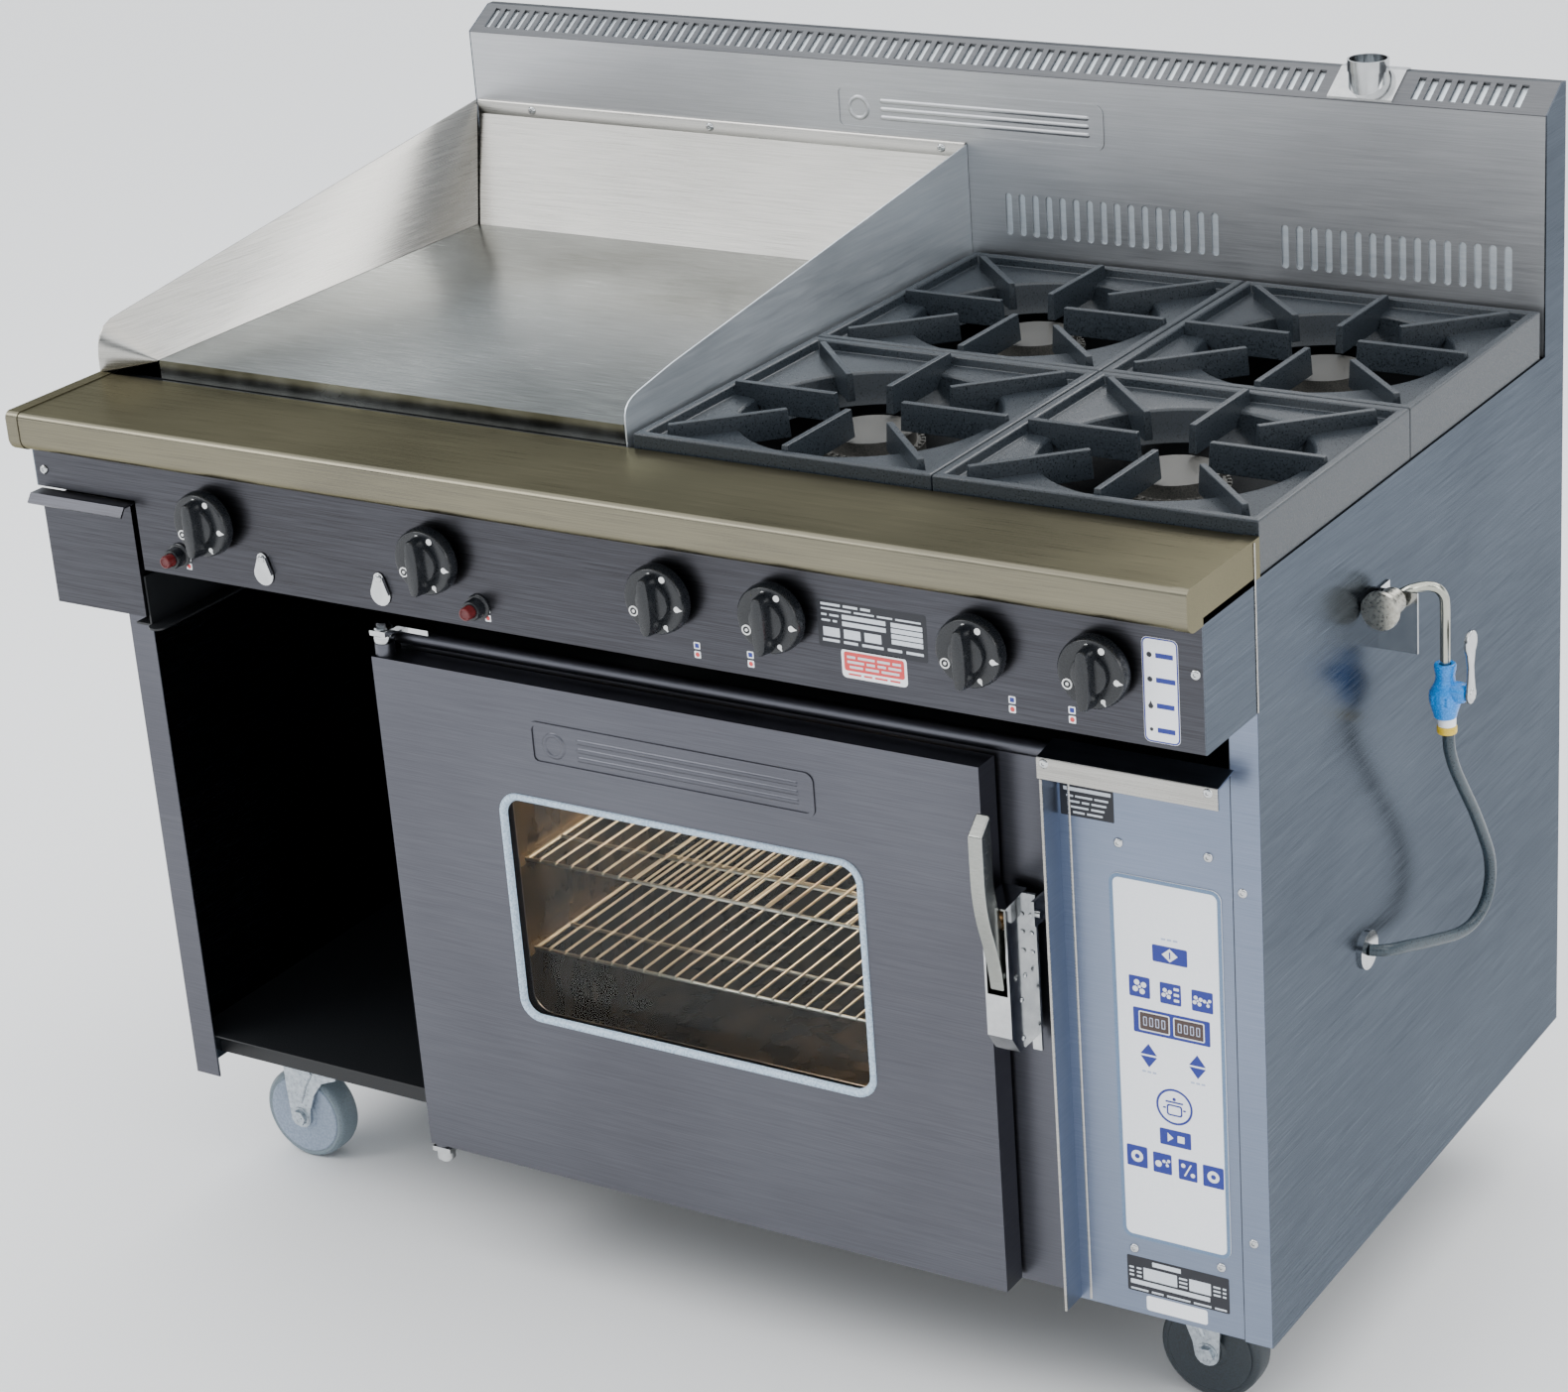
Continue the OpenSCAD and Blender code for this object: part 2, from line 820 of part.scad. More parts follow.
module front_rail() {
  color(stainless)
    place() {
      rail_sheet();
      rail_end_cap(0, cap_w - cap_gap);
      rail_end_cap(body_w - cap_w + cap_gap, body_w);
    }
}

module control_panel() {
  color(stainless)
    place()
      difference() {
        union() {
          bar(inner_left, inner_right, panel_y, panel_y + sheet, notch_z, panel_z1);
          bar(notch_x, inner_right, panel_y, panel_y + sheet, panel_z0, notch_z);
          bar(notch_x, inner_right, panel_y, -0.5, panel_z0, panel_z0 + sheet);
          bar(notch_x, notch_x + sheet, panel_y, -0.5, panel_z0, notch_z);
        }
        for (x = knob_x)
          rod_y(x, knob_z, panel_y - 1, panel_y + sheet + 1, spindle_r + 2);
        for (x = igniter_x)
          rod_y(x, igniter_z, panel_y - 1, panel_y + sheet + 1, igniter_sleeve_radius + panel_hole_gap);
        for (x = port_x)
          bar(x - port_half, x + port_half, panel_y - cut, panel_y + sheet + cut,
            port_z - port_drop - port_half, port_z - port_half);
      }
}

module gas_train() {
  color(brass_colour)
    place() {
      rod_x(manifold_y, knob_z, manifold_x0, manifold_x1, manifold_r);
      for (x = knob_x) {
        bar(x - valve_w / 2, x + valve_w / 2, valve_y0, manifold_y - 4, knob_z - valve_w / 2,
          knob_z + valve_w / 2);
        rod_y(x, knob_z, spindle_y0, valve_y0 + 1, spindle_r);
      }
      rod_z(supply_x, manifold_y, supply_z, knob_z, supply_r);
      translate([supply_x, manifold_y, supply_z])
        sphere(r = supply_r + 1);
      rod_y(supply_x, supply_z, manifold_y, body_d, supply_r);
      rod_y(supply_x, supply_z, body_d, inlet_y1, inlet_r);
    }
}

module igniter_bodies() {
  color(black)
    place()
      for (x = igniter_x)
        difference() {
          union() {
            rod_y(x, igniter_z, sleeve_y0, sleeve_y1, igniter_sleeve_radius);
            rod_y(x, igniter_z, panel_y - collar_t, panel_y, collar_r);
          }
          rod_y(x, igniter_z, sleeve_y0 - 1, sleeve_y1 - sleeve_floor, button_radius + button_gap);
        }
}

module igniter_button(x) {
  color(red)
    place()
      rod_y(x, igniter_z, button_y0, button_y1, button_radius);
}

module igniter_button_left() {
  igniter_button(igniter_x[0]);
}

module igniter_button_right() {
  igniter_button(igniter_x[1]);
}

module port_cover(x) {
  color(bright)
    place()
      difference() {
        union() {
          rod_y(x, port_z, flap_y1 - flap_t, flap_y1, flap_pivot_r);
          rod_y(x, port_z - port_drop, flap_y1 - flap_t, flap_y1, flap_r);
          translate([x, flap_y1, port_z])
            rotate([90, 0, 0])
              linear_extrude(height = flap_t)
                polygon([[-flap_pivot_r, 0], [flap_pivot_r, 0], [flap_r, -port_drop],
                  [-flap_r, -port_drop]]);
        }
        rod_y(x, port_z, flap_y1 - flap_t - 1, flap_y1 + 1, rivet_r + 0.3);
      }
}

module port_cover_left() {
  port_cover(port_x[0]);
}

module port_cover_right() {
  port_cover(port_x[1]);
}

module knob(x) {
  color(black)
    place()
      difference() {
        union() {
          rod_y(x, knob_z, knob_skirt_y0, knob_skirt_y1, knob_radius);
          rod_y(x, knob_z, knob_skirt_y1, knob_back_y, knob_boss_r);
          intersection() {
            rod_y(x, knob_z, knob_front_y, knob_skirt_y0 + 1, knob_radius - 3);
            bar(x - knob_grip_width / 2, x + knob_grip_width / 2, knob_front_y, knob_skirt_y0 + 1,
              knob_z - knob_radius, knob_z + knob_radius);
          }
        }
        rod_y(x, knob_z, spindle_y0 - 1, knob_back_y + 1, spindle_r + spindle_gap);
      }
}

module knob_1() {
  knob(knob_x[0]);
}

module knob_2() {
  knob(knob_x[1]);
}

module knob_3() {
  knob(knob_x[2]);
}

module knob_4() {
  knob(knob_x[3]);
}

module knob_5() {
  knob(knob_x[4]);
}

module knob_6() {
  knob(knob_x[5]);
}

module grease_drawer() {
  color(stainless)
    place() {
      difference() {
        bar(drawer_x0, drawer_x1, drawer_y0, drawer_y1, drawer_z0, drawer_side_z1);
        bar(drawer_x0 + sheet, drawer_x1 - sheet, drawer_y0 + sheet, drawer_y1 - sheet,
          drawer_z0 + sheet, drawer_z1);
      }
      bar(drawer_x0, drawer_x1, drawer_y0, drawer_y0 + sheet, drawer_side_z1, drawer_z1);
      pull_x(drawer_x0, lip_x1, [[drawer_y0 + sheet, drawer_z1 + sheet],
        [lip_y0 + lip_lean, drawer_z1 + sheet], [lip_y0, drawer_z1 - lip_drop + sheet],
        [lip_y0 + sheet, drawer_z1 - lip_drop], [lip_y0 + lip_lean + 1, drawer_z1],
        [drawer_y0 + sheet, drawer_z1]]);
    }
}

module oven_liner() {
  color(bright)
    place() {
      difference() {
        bar(cavity_x0 - liner_t, cavity_x1 + liner_t, frame_t, cavity_y1 + liner_t,
          cavity_z0 - liner_t, cavity_z1 + liner_t);
        bar(cavity_x0, cavity_x1, frame_t - 1, cavity_y1, cavity_z0, cavity_z1);
      }
      for (z = [rack_lower_z, rack_upper_z, rack_upper_z + ledge_pitch])
        for (x = [cavity_x0, cavity_x1 - ledge_w - ledge_lap])
          bar(x, x + ledge_w + ledge_lap, rack_y0 - ledge_front, cavity_y1,
            z - rack_clear - ledge_t, z - rack_clear);
    }
}

module oven_front_frame() {
  color(stainless)
    place() {
      difference() {
        bar(frame_x0, frame_x1, 0, frame_t, frame_z0, frame_z1);
        bar(cavity_x0, cavity_x1, -1, frame_t + 1, cavity_z0, cavity_z1);
      }
      intersection() {
        rod_x(0, frame_z1 - trim_r, frame_x0, frame_x1, trim_r);
        bar(frame_x0, frame_x1, -trim_r - 1, frame_t, frame_z0, frame_z1 + 1);
      }
    }
}

// outer casing of the oven, open below and in front, and the floor of the open bay
module cabinet_linings() {
  color(black)
    place() {
      difference() {
        bar(frame_x0, frame_x1, frame_t, casing_y1, rail_z1 + sheet, frame_z1);
        bar(frame_x0 + sheet, frame_x1 - sheet, frame_t - 1, casing_y1 - sheet, rail_z0, frame_z1 - sheet);
      }
      bar(inner_left, frame_x0 - floor_gap, sheet + 0.5, body_d - sheet, rail_z1, rail_z1 + sheet);
    }
}

module oven_rack(z) {
  color(bright)
    place() {
      for (x = [rack_x0, rack_x1 - rack_bar])
        bar(x, x + rack_bar, rack_y0, rack_y1, z, z + rack_bar);
      for (y = [rack_y0, rack_y0 + rack_cross, (rack_y0 + rack_y1) / 2, rack_y1 - rack_cross,
          rack_y1 - rack_bar])
        bar(rack_x0, rack_x1, y, y + rack_bar, z, z + rack_bar);
      for (i = [1:rack_bar_count]) {
        x = rack_x0 + i * (rack_x1 - rack_x0) / (rack_bar_count + 1);
        bar(x - rack_bar / 2, x + rack_bar / 2, rack_y0, rack_y1, z + rack_bar / 2,
          z + rack_bar + rack_rise);
      }
    }
}

module oven_rack_lower() {
  oven_rack(rack_lower_z);
}

module oven_rack_upper() {
  oven_rack(rack_upper_z);
}

// front cover of the controls with its upright fin, and the drip hood over it
module control_cover() {
  color(stainless)
    place() {
      bar(cover_x0, flange_right - 0.5, 0, sheet, cover_z0, cover_z1);
      bar(cover_x0, cover_x0 + sheet, fin_y0, 0, fin_z0, fin_z1);
      pull_x(frame_x1, hood_x1, [[-hood_gap, hood_z1], [-hood_gap, hood_z1 - sheet],
        [hood_y0 + sheet, hood_front_z - sheet], [hood_y0 + sheet, hood_lip_z], [hood_y0, hood_lip_z],
        [hood_y0, hood_front_z], [-0.2 - hood_gap, hood_z1]]);
    }
}

module touchpad() {
  color(white)
    place()
      round_plate(pad_x0, pad_x1, -pad_t, 0, pad_z0, pad_z1, pad_corner);
}

// hinge arms with their pins, and the keeper that the latch catches
module door_hardware() {
  color(bright)
    place() {
      rod_z(hinge_x, hinge_y, door_z1 - pin_length, frame_z1 + hinge_arm_t + 3, hinge_pin_r);
      bar(hinge_x - hinge_half, hinge_x + hinge_half, hinge_y - hinge_half, frame_t, frame_z1,
        frame_z1 + hinge_arm_t);
      bar(hinge_x + hinge_half, hinge_x + hinge_reach, hinge_tab_y0, frame_t, frame_z1,
        frame_z1 + hinge_arm_t);
      rod_z(hinge_x, hinge_y, pin_foot_z, door_z0 + pin_length, hinge_pin_r);
      rod_z(hinge_x, hinge_y, pin_collar_z, rail_z0 - hinge_arm_t, hinge_half);
      bar(hinge_x - hinge_half, hinge_x + lug_reach, hinge_y - hinge_half, front_rail_y + 20,
        rail_z0 - hinge_arm_t, rail_z0);
      bar(keeper_x0, keeper_x0 + keeper_t, keeper_y0, 0, keeper_z[0], keeper_z[1]);
      rod_x(keeper_pin[0], keeper_pin[1], keeper_x0 + keeper_t, keeper_x0 + keeper_t + keeper_pin_l,
        keeper_pin_r);
    }
}

module door_panel() {
  color(stainless)
    place()
      difference() {
        union() {
          difference() {
            bar(door_x0, door_x1, door_y0, door_y1, door_z0, door_z1);
            bar(door_x0 + sheet, door_x1 - sheet, door_y0 + sheet, door_y1 + 1, door_z0 + sheet,
              door_z1 - sheet);
          }
          rod_z(hinge_x, hinge_y, door_z1, door_z1 + boss_h, boss_r);
          rod_z(hinge_x, hinge_y, rail_z0 + 0.6, door_z0, boss_r);
          for (z = [door_z0 + sheet, door_z1 - lug_h])
            bar(door_x0 + sheet, hinge_x + lug_reach, hinge_y - hinge_half, hinge_y + lug_reach, z,
              z + lug_h - sheet);
          raised_frame(badge_door, door_y0 - badge_rise, door_y0);
        }
        round_plate(win_x0, win_x1, door_y0 - 5, door_y0 + sheet + cut, win_z0, win_z1, win_corner);
        rod_z(hinge_x, hinge_y, door_z1 - lug_h + 1, door_z1 + boss_h + cut, hinge_bore_r);
        rod_z(hinge_x, hinge_y, rail_z0 - cut, door_z0 + lug_h - 1, hinge_bore_r);
      }
}

module door_liner() {
  color(stainless)
    place()
      difference() {
        bar(hinge_x + liner_hinge_gap, door_x1 - sheet, door_y1 - liner_depth, door_y1,
          door_z0 + liner_drop, door_z1 - liner_drop);
        bar(hinge_x + liner_hinge_gap + sheet, door_x1 - 2 * sheet, door_y1 - liner_depth - cut,
          door_y1 - sheet, door_z0 + liner_drop + sheet, door_z1 - liner_drop - sheet);
        round_plate(win_x0 - liner_win_gap, win_x1 + liner_win_gap, door_y1 - liner_depth - cut,
          door_y1 + cut, win_z0 - liner_win_gap, win_z1 + liner_win_gap, win_corner);
      }
}

module door_glass() {
  color([0.7, 0.8, 0.85, 0.3])
    place() {
      round_plate(win_x0 - pane_lap, win_x1 + pane_lap, door_y0 + sheet, door_y0 + sheet + pane_t,
        win_z0 - pane_lap, win_z1 + pane_lap, win_corner);
      round_plate(win_x0 - pane_lap, win_x1 + pane_lap, door_y1 - sheet - pane_t, door_y1 - sheet,
        win_z0 - pane_lap, win_z1 + pane_lap, win_corner);
    }
}

module window_gasket() {
  color([0.6, 0.75, 0.85])
    place()
      difference() {
        round_plate(win_x0, win_x1, door_y0 - 1, door_y0 + sheet, win_z0, win_z1, win_corner);
        round_plate(win_x0 + gasket_w, win_x1 - gasket_w, door_y0 - 2, door_y0 + sheet + 1,
          win_z0 + gasket_w, win_z1 - gasket_w, win_corner - gasket_w);
      }
}

module door_seal() {
  color(black)
    place()
      difference() {
        round_plate(cavity_x0 - seal_out, cavity_x1 + seal_out, door_y1, -seal_gap,
          cavity_z0 + seal_low, cavity_z1 - seal_high, seal_out);
        round_plate(cavity_x0 - seal_out + seal_w, cavity_x1 + seal_out - seal_w, door_y1 - cut, cut,
          cavity_z0 + seal_low + seal_w, cavity_z1 - seal_high - seal_w, seal_out - 10);
      }
}

module latch_case() {
  color(bright)
    place()
      difference() {
        union() {
          pull_x(case_x0, case_x1, [[case_y0, case_nose_z], [case_y0 + 12, case_z0], [case_y1, case_z0],
            [case_y1, case_z1], [case_y0, case_z1 - 4]]);
          bar(case_x1, case_plate_x1, case_y1 - 3, case_y1, case_z0 - 8, case_z1 - 4);
          bar(door_x1, case_x0, case_y1 - 12, case_y1, case_z0 + 10, case_z1 - 20);
          rod_x(roller_y, roller_z, case_x0, case_x1, roller_r);
        }
        difference() {
          union() {
            bar(case_x0 + case_wall, case_x1 - case_wall, case_y0 - cut, case_y1 - case_wall,
              slot_split_z, case_z1 - 6);
            bar(case_x0 + case_wall, case_x1 - case_wall, case_y0 + case_wall, case_y1 - case_wall,
              slot_low_z, slot_split_z + cut);
          }
          rod_x(roller_y, roller_z, case_x0, case_x1, roller_r);
        }
        rod_x(lever_pivot[0], lever_pivot[1], case_x0 - 1, case_x1 + 1, lever_pin_r + 0.3);
      }
}

module door_handle() {
  color(bright)
    place() {
      pull_x(lever_x0, lever_x1, lever_profile);
      rod_x(lever_pivot[0], lever_pivot[1], case_x0 + case_wall + 0.3, case_x1 - case_wall - 0.3,
        lever_pin_r);
    }
}

screw_head_r = 4.5;
screw_head_t = 2.2;
cover_screws = [[1087, 587], [1171, 589], [1202, 562], [1204, 227], [1087, 193], [1172, 195]];
panel_screws = [[11.7, 812], [1212, 795]];
guard_screws = [76, 303, 580];
guard_screw_z = 990;
hood_screws = [1036, 1188];
hood_screw_z = 663;

module screws() {
  color(zinc)
    place() {
      for (p = cover_screws)
        rod_y(p[0], p[1], -screw_head_t, 0, screw_head_r);
      for (p = panel_screws)
        rod_y(p[0], p[1], panel_y - screw_head_t, panel_y, screw_head_r);
      for (x = hood_screws)
        rod_y(x, hood_screw_z, hood_y0 - screw_head_t, hood_y0, screw_head_r - 1);
      for (x = guard_screws)
        rod_y(x, guard_screw_z, splash_y - band_gap - screw_head_t, splash_y - band_gap, screw_head_r);
      for (x = port_x)
        union() {
          rod_y(x, port_z, flap_y1 - flap_t - 0.3, panel_y, rivet_r);
          rod_y(x, port_z, flap_y1 - flap_t - 0.3 - rivet_head_t, flap_y1 - flap_t - 0.3, rivet_head_r);
        }
    }
}

// angle bracket that holds the torch
module torch_bracket() {
  difference() {
    union() {
      bar(body_w, bracket_x1, bracket_y, bracket_y + bracket_t, bracket_z[0], bracket_z[1]);
      bar(body_w, body_w + bracket_t, bracket_y + bracket_t, bracket_y + bracket_foot, bracket_z[0],
        bracket_z[1]);
    }
    rod_y(head_x, head_z, bracket_y - cut, bracket_y + bracket_t + cut, torch_tube_r + 0.5);
  }
}

// flanged socket in the right side panel that the hose leaves
module hose_grommet() {
  difference() {
    union() {
      rod_x(grommet[1], grommet[2], body_w, body_w + grommet_flange, grommet_r);
      rod_x(grommet[1], grommet[2], body_w - grommet_neck, body_w, grommet_neck_r);
    }
    rod_x(grommet[1], grommet[2], body_w - grommet_neck - cut, body_w - grommet_floor,
      hose_r + hose_gap);
  }
}

module side_fittings() {
  color(bright)
    place() {
      torch_bracket();
      hose_grommet();
    }
}

// lighting torch with its cock, one welded assembly
module torch() {
  color(blue)
    place() {
      rod_y(head_x, head_z, head_y[0], head_y[1], head_disc_r);
      rod_y(head_x, head_z, head_y[1], head_y[2], head_neck_r);
      rod_y(head_x, head_z, head_y[2], bend_y, torch_tube_r);
      rod_z(head_x, bend_y, bend_z0, bend_z1, elbow_r);
      translate([head_x, bend_y, head_z])
        rotate([0, 0, atan2(cock_y - bend_y, torch_x - head_x)])
          rod_x(0, 0, 0, norm([cock_y - bend_y, torch_x - head_x]), torch_tube_r);
      rod_z(torch_x, cock_y, bend_z0, bend_z1, elbow_r);
      rod_z(torch_x, cock_y, cock_z1, bend_z0, torch_tube_r);
      rod_z(torch_x, cock_y, cock_z1 - cock_end, cock_z1, cock_r[2]);
      rod_z(torch_x, cock_y, cock_z0 + cock_end, cock_z1 - cock_end, cock_r[1]);
      rod_z(torch_x, cock_y, cock_z0, cock_z0 + cock_end, cock_r[0]);
      rod_x(cock_y, pivot_z, torch_x, lever_inner_x - 0.4, bonnet_r);
      rod_z(torch_x + 1.5, cock_y, hose_top[2], cock_z0, nipple_r);
    }
}

module torch_lever() {
  color(bright)
    place() {
      rod_x(cock_y, pivot_z, lever_inner_x, lever_outer_x, hub_r);
      rod_x(cock_y, spoon_z, lever_inner_x, lever_inner_x + spoon_t, spoon_r);
      bar(lever_inner_x, lever_inner_x + spoon_t, cock_y - arm_half, cock_y + arm_half, pivot_z,
        spoon_z);
    }
}

// hose route from the torch cock to the grommet
hose_route = [hose_top, [1268, 281, 590], [1268, 292, 568], [1268, 312, 540], [1268, 336, 508],
  [1267, 360, 474], [1266, 378, 444], [1264, 385, 416], [1262, 376, 394], [1259, 354, 384],
  [1256, 326, 386], [1252, 296, 394], [1248, 268, 402], [1244, 245, 409], [1240, 226, 414],
  [1234, 212, 417.5], [1223, 207, 418]];
hose_sides = 12;
hose_steps = 4;

function hose_pt(i) = hose_route[max(0, min(len(hose_route) - 1, i))];
function catmull(a, b, c, d, t) = 0.5 * ((2 * b) + (c - a) * t + (2 * a - 5 * b + 4 * c - d) * t * t
  + (3 * b - a - 3 * c + d) * t * t * t);
hose_line = [for (i = [0:len(hose_route) - 2], s = [0:hose_steps - 1])
  catmull(hose_pt(i - 1), hose_pt(i), hose_pt(i + 1), hose_pt(i + 2), s / hose_steps),
  hose_route[len(hose_route) - 1]];
hose_n = len(hose_line);
function unit(v) = v / norm(v);
function along(i) = i == 0 ? [0, 0, -1] : i == hose_n - 1 ? [-1, 0, 0]
  : unit(hose_line[i + 1] - hose_line[i - 1]);
// the route lies close to one upright plane, so one fixed side vector serves every ring
function side_a(i) = unit(cross(along(i), [0.25, 0.05, 0.02] + [1, 0, 0] * (1 - i / hose_n)
  + [0, 1, 0.6] * max(0, i / hose_n - 0.75)));
function side_b(i) = cross(along(i), side_a(i));
hose_points = [for (i = [0:hose_n - 1], k = [0:hose_sides - 1])
  hose_line[i] + hose_r * (cos(360 * k / hose_sides) * side_a(i)
  + sin(360 * k / hose_sides) * side_b(i))];
hose_faces = concat(
  [[for (k = [0:hose_sides - 1]) k]],
  [[for (k = [hose_sides - 1:-1:0]) (hose_n - 1) * hose_sides + k]],
  [for (i = [0:hose_n - 2], k = [0:hose_sides - 1])
    [i * hose_sides + k, (i + 1) * hose_sides + k,
    (i + 1) * hose_sides + (k + 1) % hose_sides, i * hose_sides + (k + 1) % hose_sides]]);

module hose() {
  color(black)
    place()
      polyhedron(points = hose_points, faces = hose_faces);
}

// finger outline from its inner end to its outer end, deep inside the eye
function finger_outline(span) = [[span[0], hob_z + finger_rise], [span[1], hob_z + finger_rise],
  [span[1], hob_z - trivet_web_drop - 2], [finger_step_r + 3, hob_z - trivet_web_drop - 2],
  [finger_step_r - 7, hob_z + finger_rise - finger_depth], [span[0], hob_z + finger_rise - finger_depth]];

module finger(angle, points) {
  rotate([0, 0, angle])
    translate([0, finger_width / 2, 0])
      rotate([90, 0, 0])
        linear_extrude(height = finger_width)
          polygon(points);
}

// one cast pan support, centred on its burner
module trivet(x, y) {
  half = trivet_size / 2;
  color(iron)
    place()
      translate([x, y, 0]) {
        difference() {
          bar(-half, half, -half, half, trivet_foot_z, hob_z);
          bar(-half + trivet_wall, half - trivet_wall, -half + trivet_wall, half - trivet_wall,
            trivet_foot_z - 1, hob_z - trivet_rim_t);
          bar(-half + trivet_rim, half - trivet_rim, -half + trivet_rim, half - trivet_rim,
            trivet_foot_z, hob_z + 1);
        }
        difference() {
          bar(-half + trivet_wall, half - trivet_wall, -half + trivet_wall, half - trivet_wall,
            hob_z - trivet_web_drop - trivet_web_t, hob_z - trivet_web_drop);
          rod_z(0, 0, trivet_foot_z - 1, hob_z, trivet_eye_r);
        }
        difference() {
          rod_z(0, 0, bowl_z0, hob_z - trivet_web_drop - 1, trivet_eye_r + bowl_wall);
          rod_z(0, 0, bowl_z0 - 1, hob_z, trivet_eye_r);
        }
        for (a = [0:90:270])
          finger(a, finger_outline(side_finger));
        for (a = [45:90:315])
          finger(a, finger_outline(corner_finger));
      }
}

module trivet_front_left() {
  trivet(hob_cx[0], hob_cy[0]);
}

module trivet_front_right() {
  trivet(hob_cx[1], hob_cy[0]);
}

module trivet_rear_left() {
  trivet(hob_cx[0], hob_cy[1]);
}

module trivet_rear_right() {
  trivet(hob_cx[1], hob_cy[1]);
}

// top plate, bearing race and four bolts screwed up into the frame's corner plate
module castor_plates() {
  color(zinc)
    place()
      for (x = castor_x, y = castor_y) {
        bar(x - castor_plate_w / 2, x + castor_plate_w / 2, y - castor_plate_w / 2,
          y + castor_plate_w / 2, castor_plate_z0, rail_z0);
        rod_z(x, y, race_z0, castor_plate_z0, race_r);
        for (dx = [-1, 1], dy = [-1, 1])
          translate([x + dx * bolt_pitch / 2, y + dy * bolt_pitch / 2, 0]) {
            translate([0, 0, castor_plate_z0 - bolt_head_h])
              cylinder(r = bolt_head_r, h = bolt_head_h + 1, $fn = 6);
            rod_z(0, 0, castor_plate_z0, rail_z0 + gusset_t, bolt_r);
          }
      }
}

// wheel sits beside the swivel axis; d is the trail direction along X
module castor_fork(x, y, d) {
  wx = x + d * castor_trail;
  ear = wheel_width / 2 + fork_gap;
  color(zinc)
    place() {
      rod_z(x, y, fork_top_z - 4, fork_top_z, race_r + race_lip);
      bar(min(x, wx) - crown_reach, max(x, wx) + crown_reach, y - ear - fork_t, y + ear + fork_t,
        fork_top_z - crown_drop[0], fork_top_z - crown_drop[1]);
      for (s = [-1, 1])
        translate([0, y + s * (ear + fork_t / 2) + fork_t / 2, 0])
          rotate([90, 0, 0])
            linear_extrude(height = fork_t)
              polygon([[min(x, wx) - crown_reach, fork_top_z - 4],
                [max(x, wx) + crown_reach, fork_top_z - 4],
                [wx + 12, wheel_r - 4], [wx + 6, wheel_r - 12], [wx - 6, wheel_r - 12],
                [wx - 12, wheel_r - 4]]);
      rod_y(wx, wheel_r, y - ear - fork_t - nut_h, y + ear + fork_t + nut_h, axle_r);
      for (s = [-1, 1])
        translate([wx, y + s * (ear + fork_t + nut_h / 2) + nut_h / 2, wheel_r])
          rotate([90, 0, 0])
            cylinder(r = nut_r, h = nut_h, $fn = 6);
    }
}

module castor_wheel(x, y, d) {
  wx = x + d * castor_trail;
  color(x < body_w / 2 ? zinc : black)
    place()
      difference() {
        union() {
          rod_y(wx, wheel_r, y - wheel_width / 2 + tread_chamfer, y + wheel_width / 2 - tread_chamfer,
            wheel_r);
          rod_y(wx, wheel_r, y - wheel_width / 2, y + wheel_width / 2, hub_rim);
          rod_y(wx, wheel_r, y - wheel_width / 2 + 1, y + wheel_width / 2 - 1, wheel_r - 4);
        }
        rod_y(wx, wheel_r, y - wheel_width, y + wheel_width, axle_r + axle_gap);
      }
}

module castor_fork_fl() {
  castor_fork(castor_x[0], castor_y[0], -1);
}

module castor_fork_fr() {
  castor_fork(castor_x[1], castor_y[0], 1);
}

module castor_fork_rl() {
  castor_fork(castor_x[0], castor_y[1], 1);
}

module castor_fork_rr() {
  castor_fork(castor_x[1], castor_y[1], -1);
}

module castor_wheel_fl() {
  castor_wheel(castor_x[0], castor_y[0], -1);
}

module castor_wheel_fr() {
  castor_wheel(castor_x[1], castor_y[0], 1);
}

module castor_wheel_rl() {
  castor_wheel(castor_x[0], castor_y[1], 1);
}

module castor_wheel_rr() {
  castor_wheel(castor_x[1], castor_y[1], -1);
}

base_frame();
side_panel_left();
side_panel_right();
rear_panel();
splashback();
vent_cap();
flue_spigot();
griddle_plate();
griddle_box();
griddle_guards();
burners();
spill_tray();
front_rail();
control_panel();
gas_train();
igniter_bodies();
cabinet_linings();
oven_liner();
oven_front_frame();
control_cover();
touchpad();
door_hardware();
screws();
side_fittings();
torch();
hose();
castor_plates();
trivet_front_left();
trivet_front_right();
trivet_rear_left();
trivet_rear_right();
knob_1();
knob_2();
knob_3();
knob_4();
knob_5();
knob_6();
igniter_button_left();
igniter_button_right();
port_cover_left();
port_cover_right();
grease_drawer();
door_panel();
door_liner();
door_glass();
window_gasket();
door_seal();
latch_case();
door_handle();
oven_rack_lower();
oven_rack_upper();
castor_fork_fl();
castor_fork_fr();
castor_fork_rl();
castor_fork_rr();
castor_wheel_fl();
castor_wheel_fr();
castor_wheel_rl();
castor_wheel_rr();
torch_lever();
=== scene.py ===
import json
import math

import bmesh
import bpy
from mathutils import Matrix, Vector


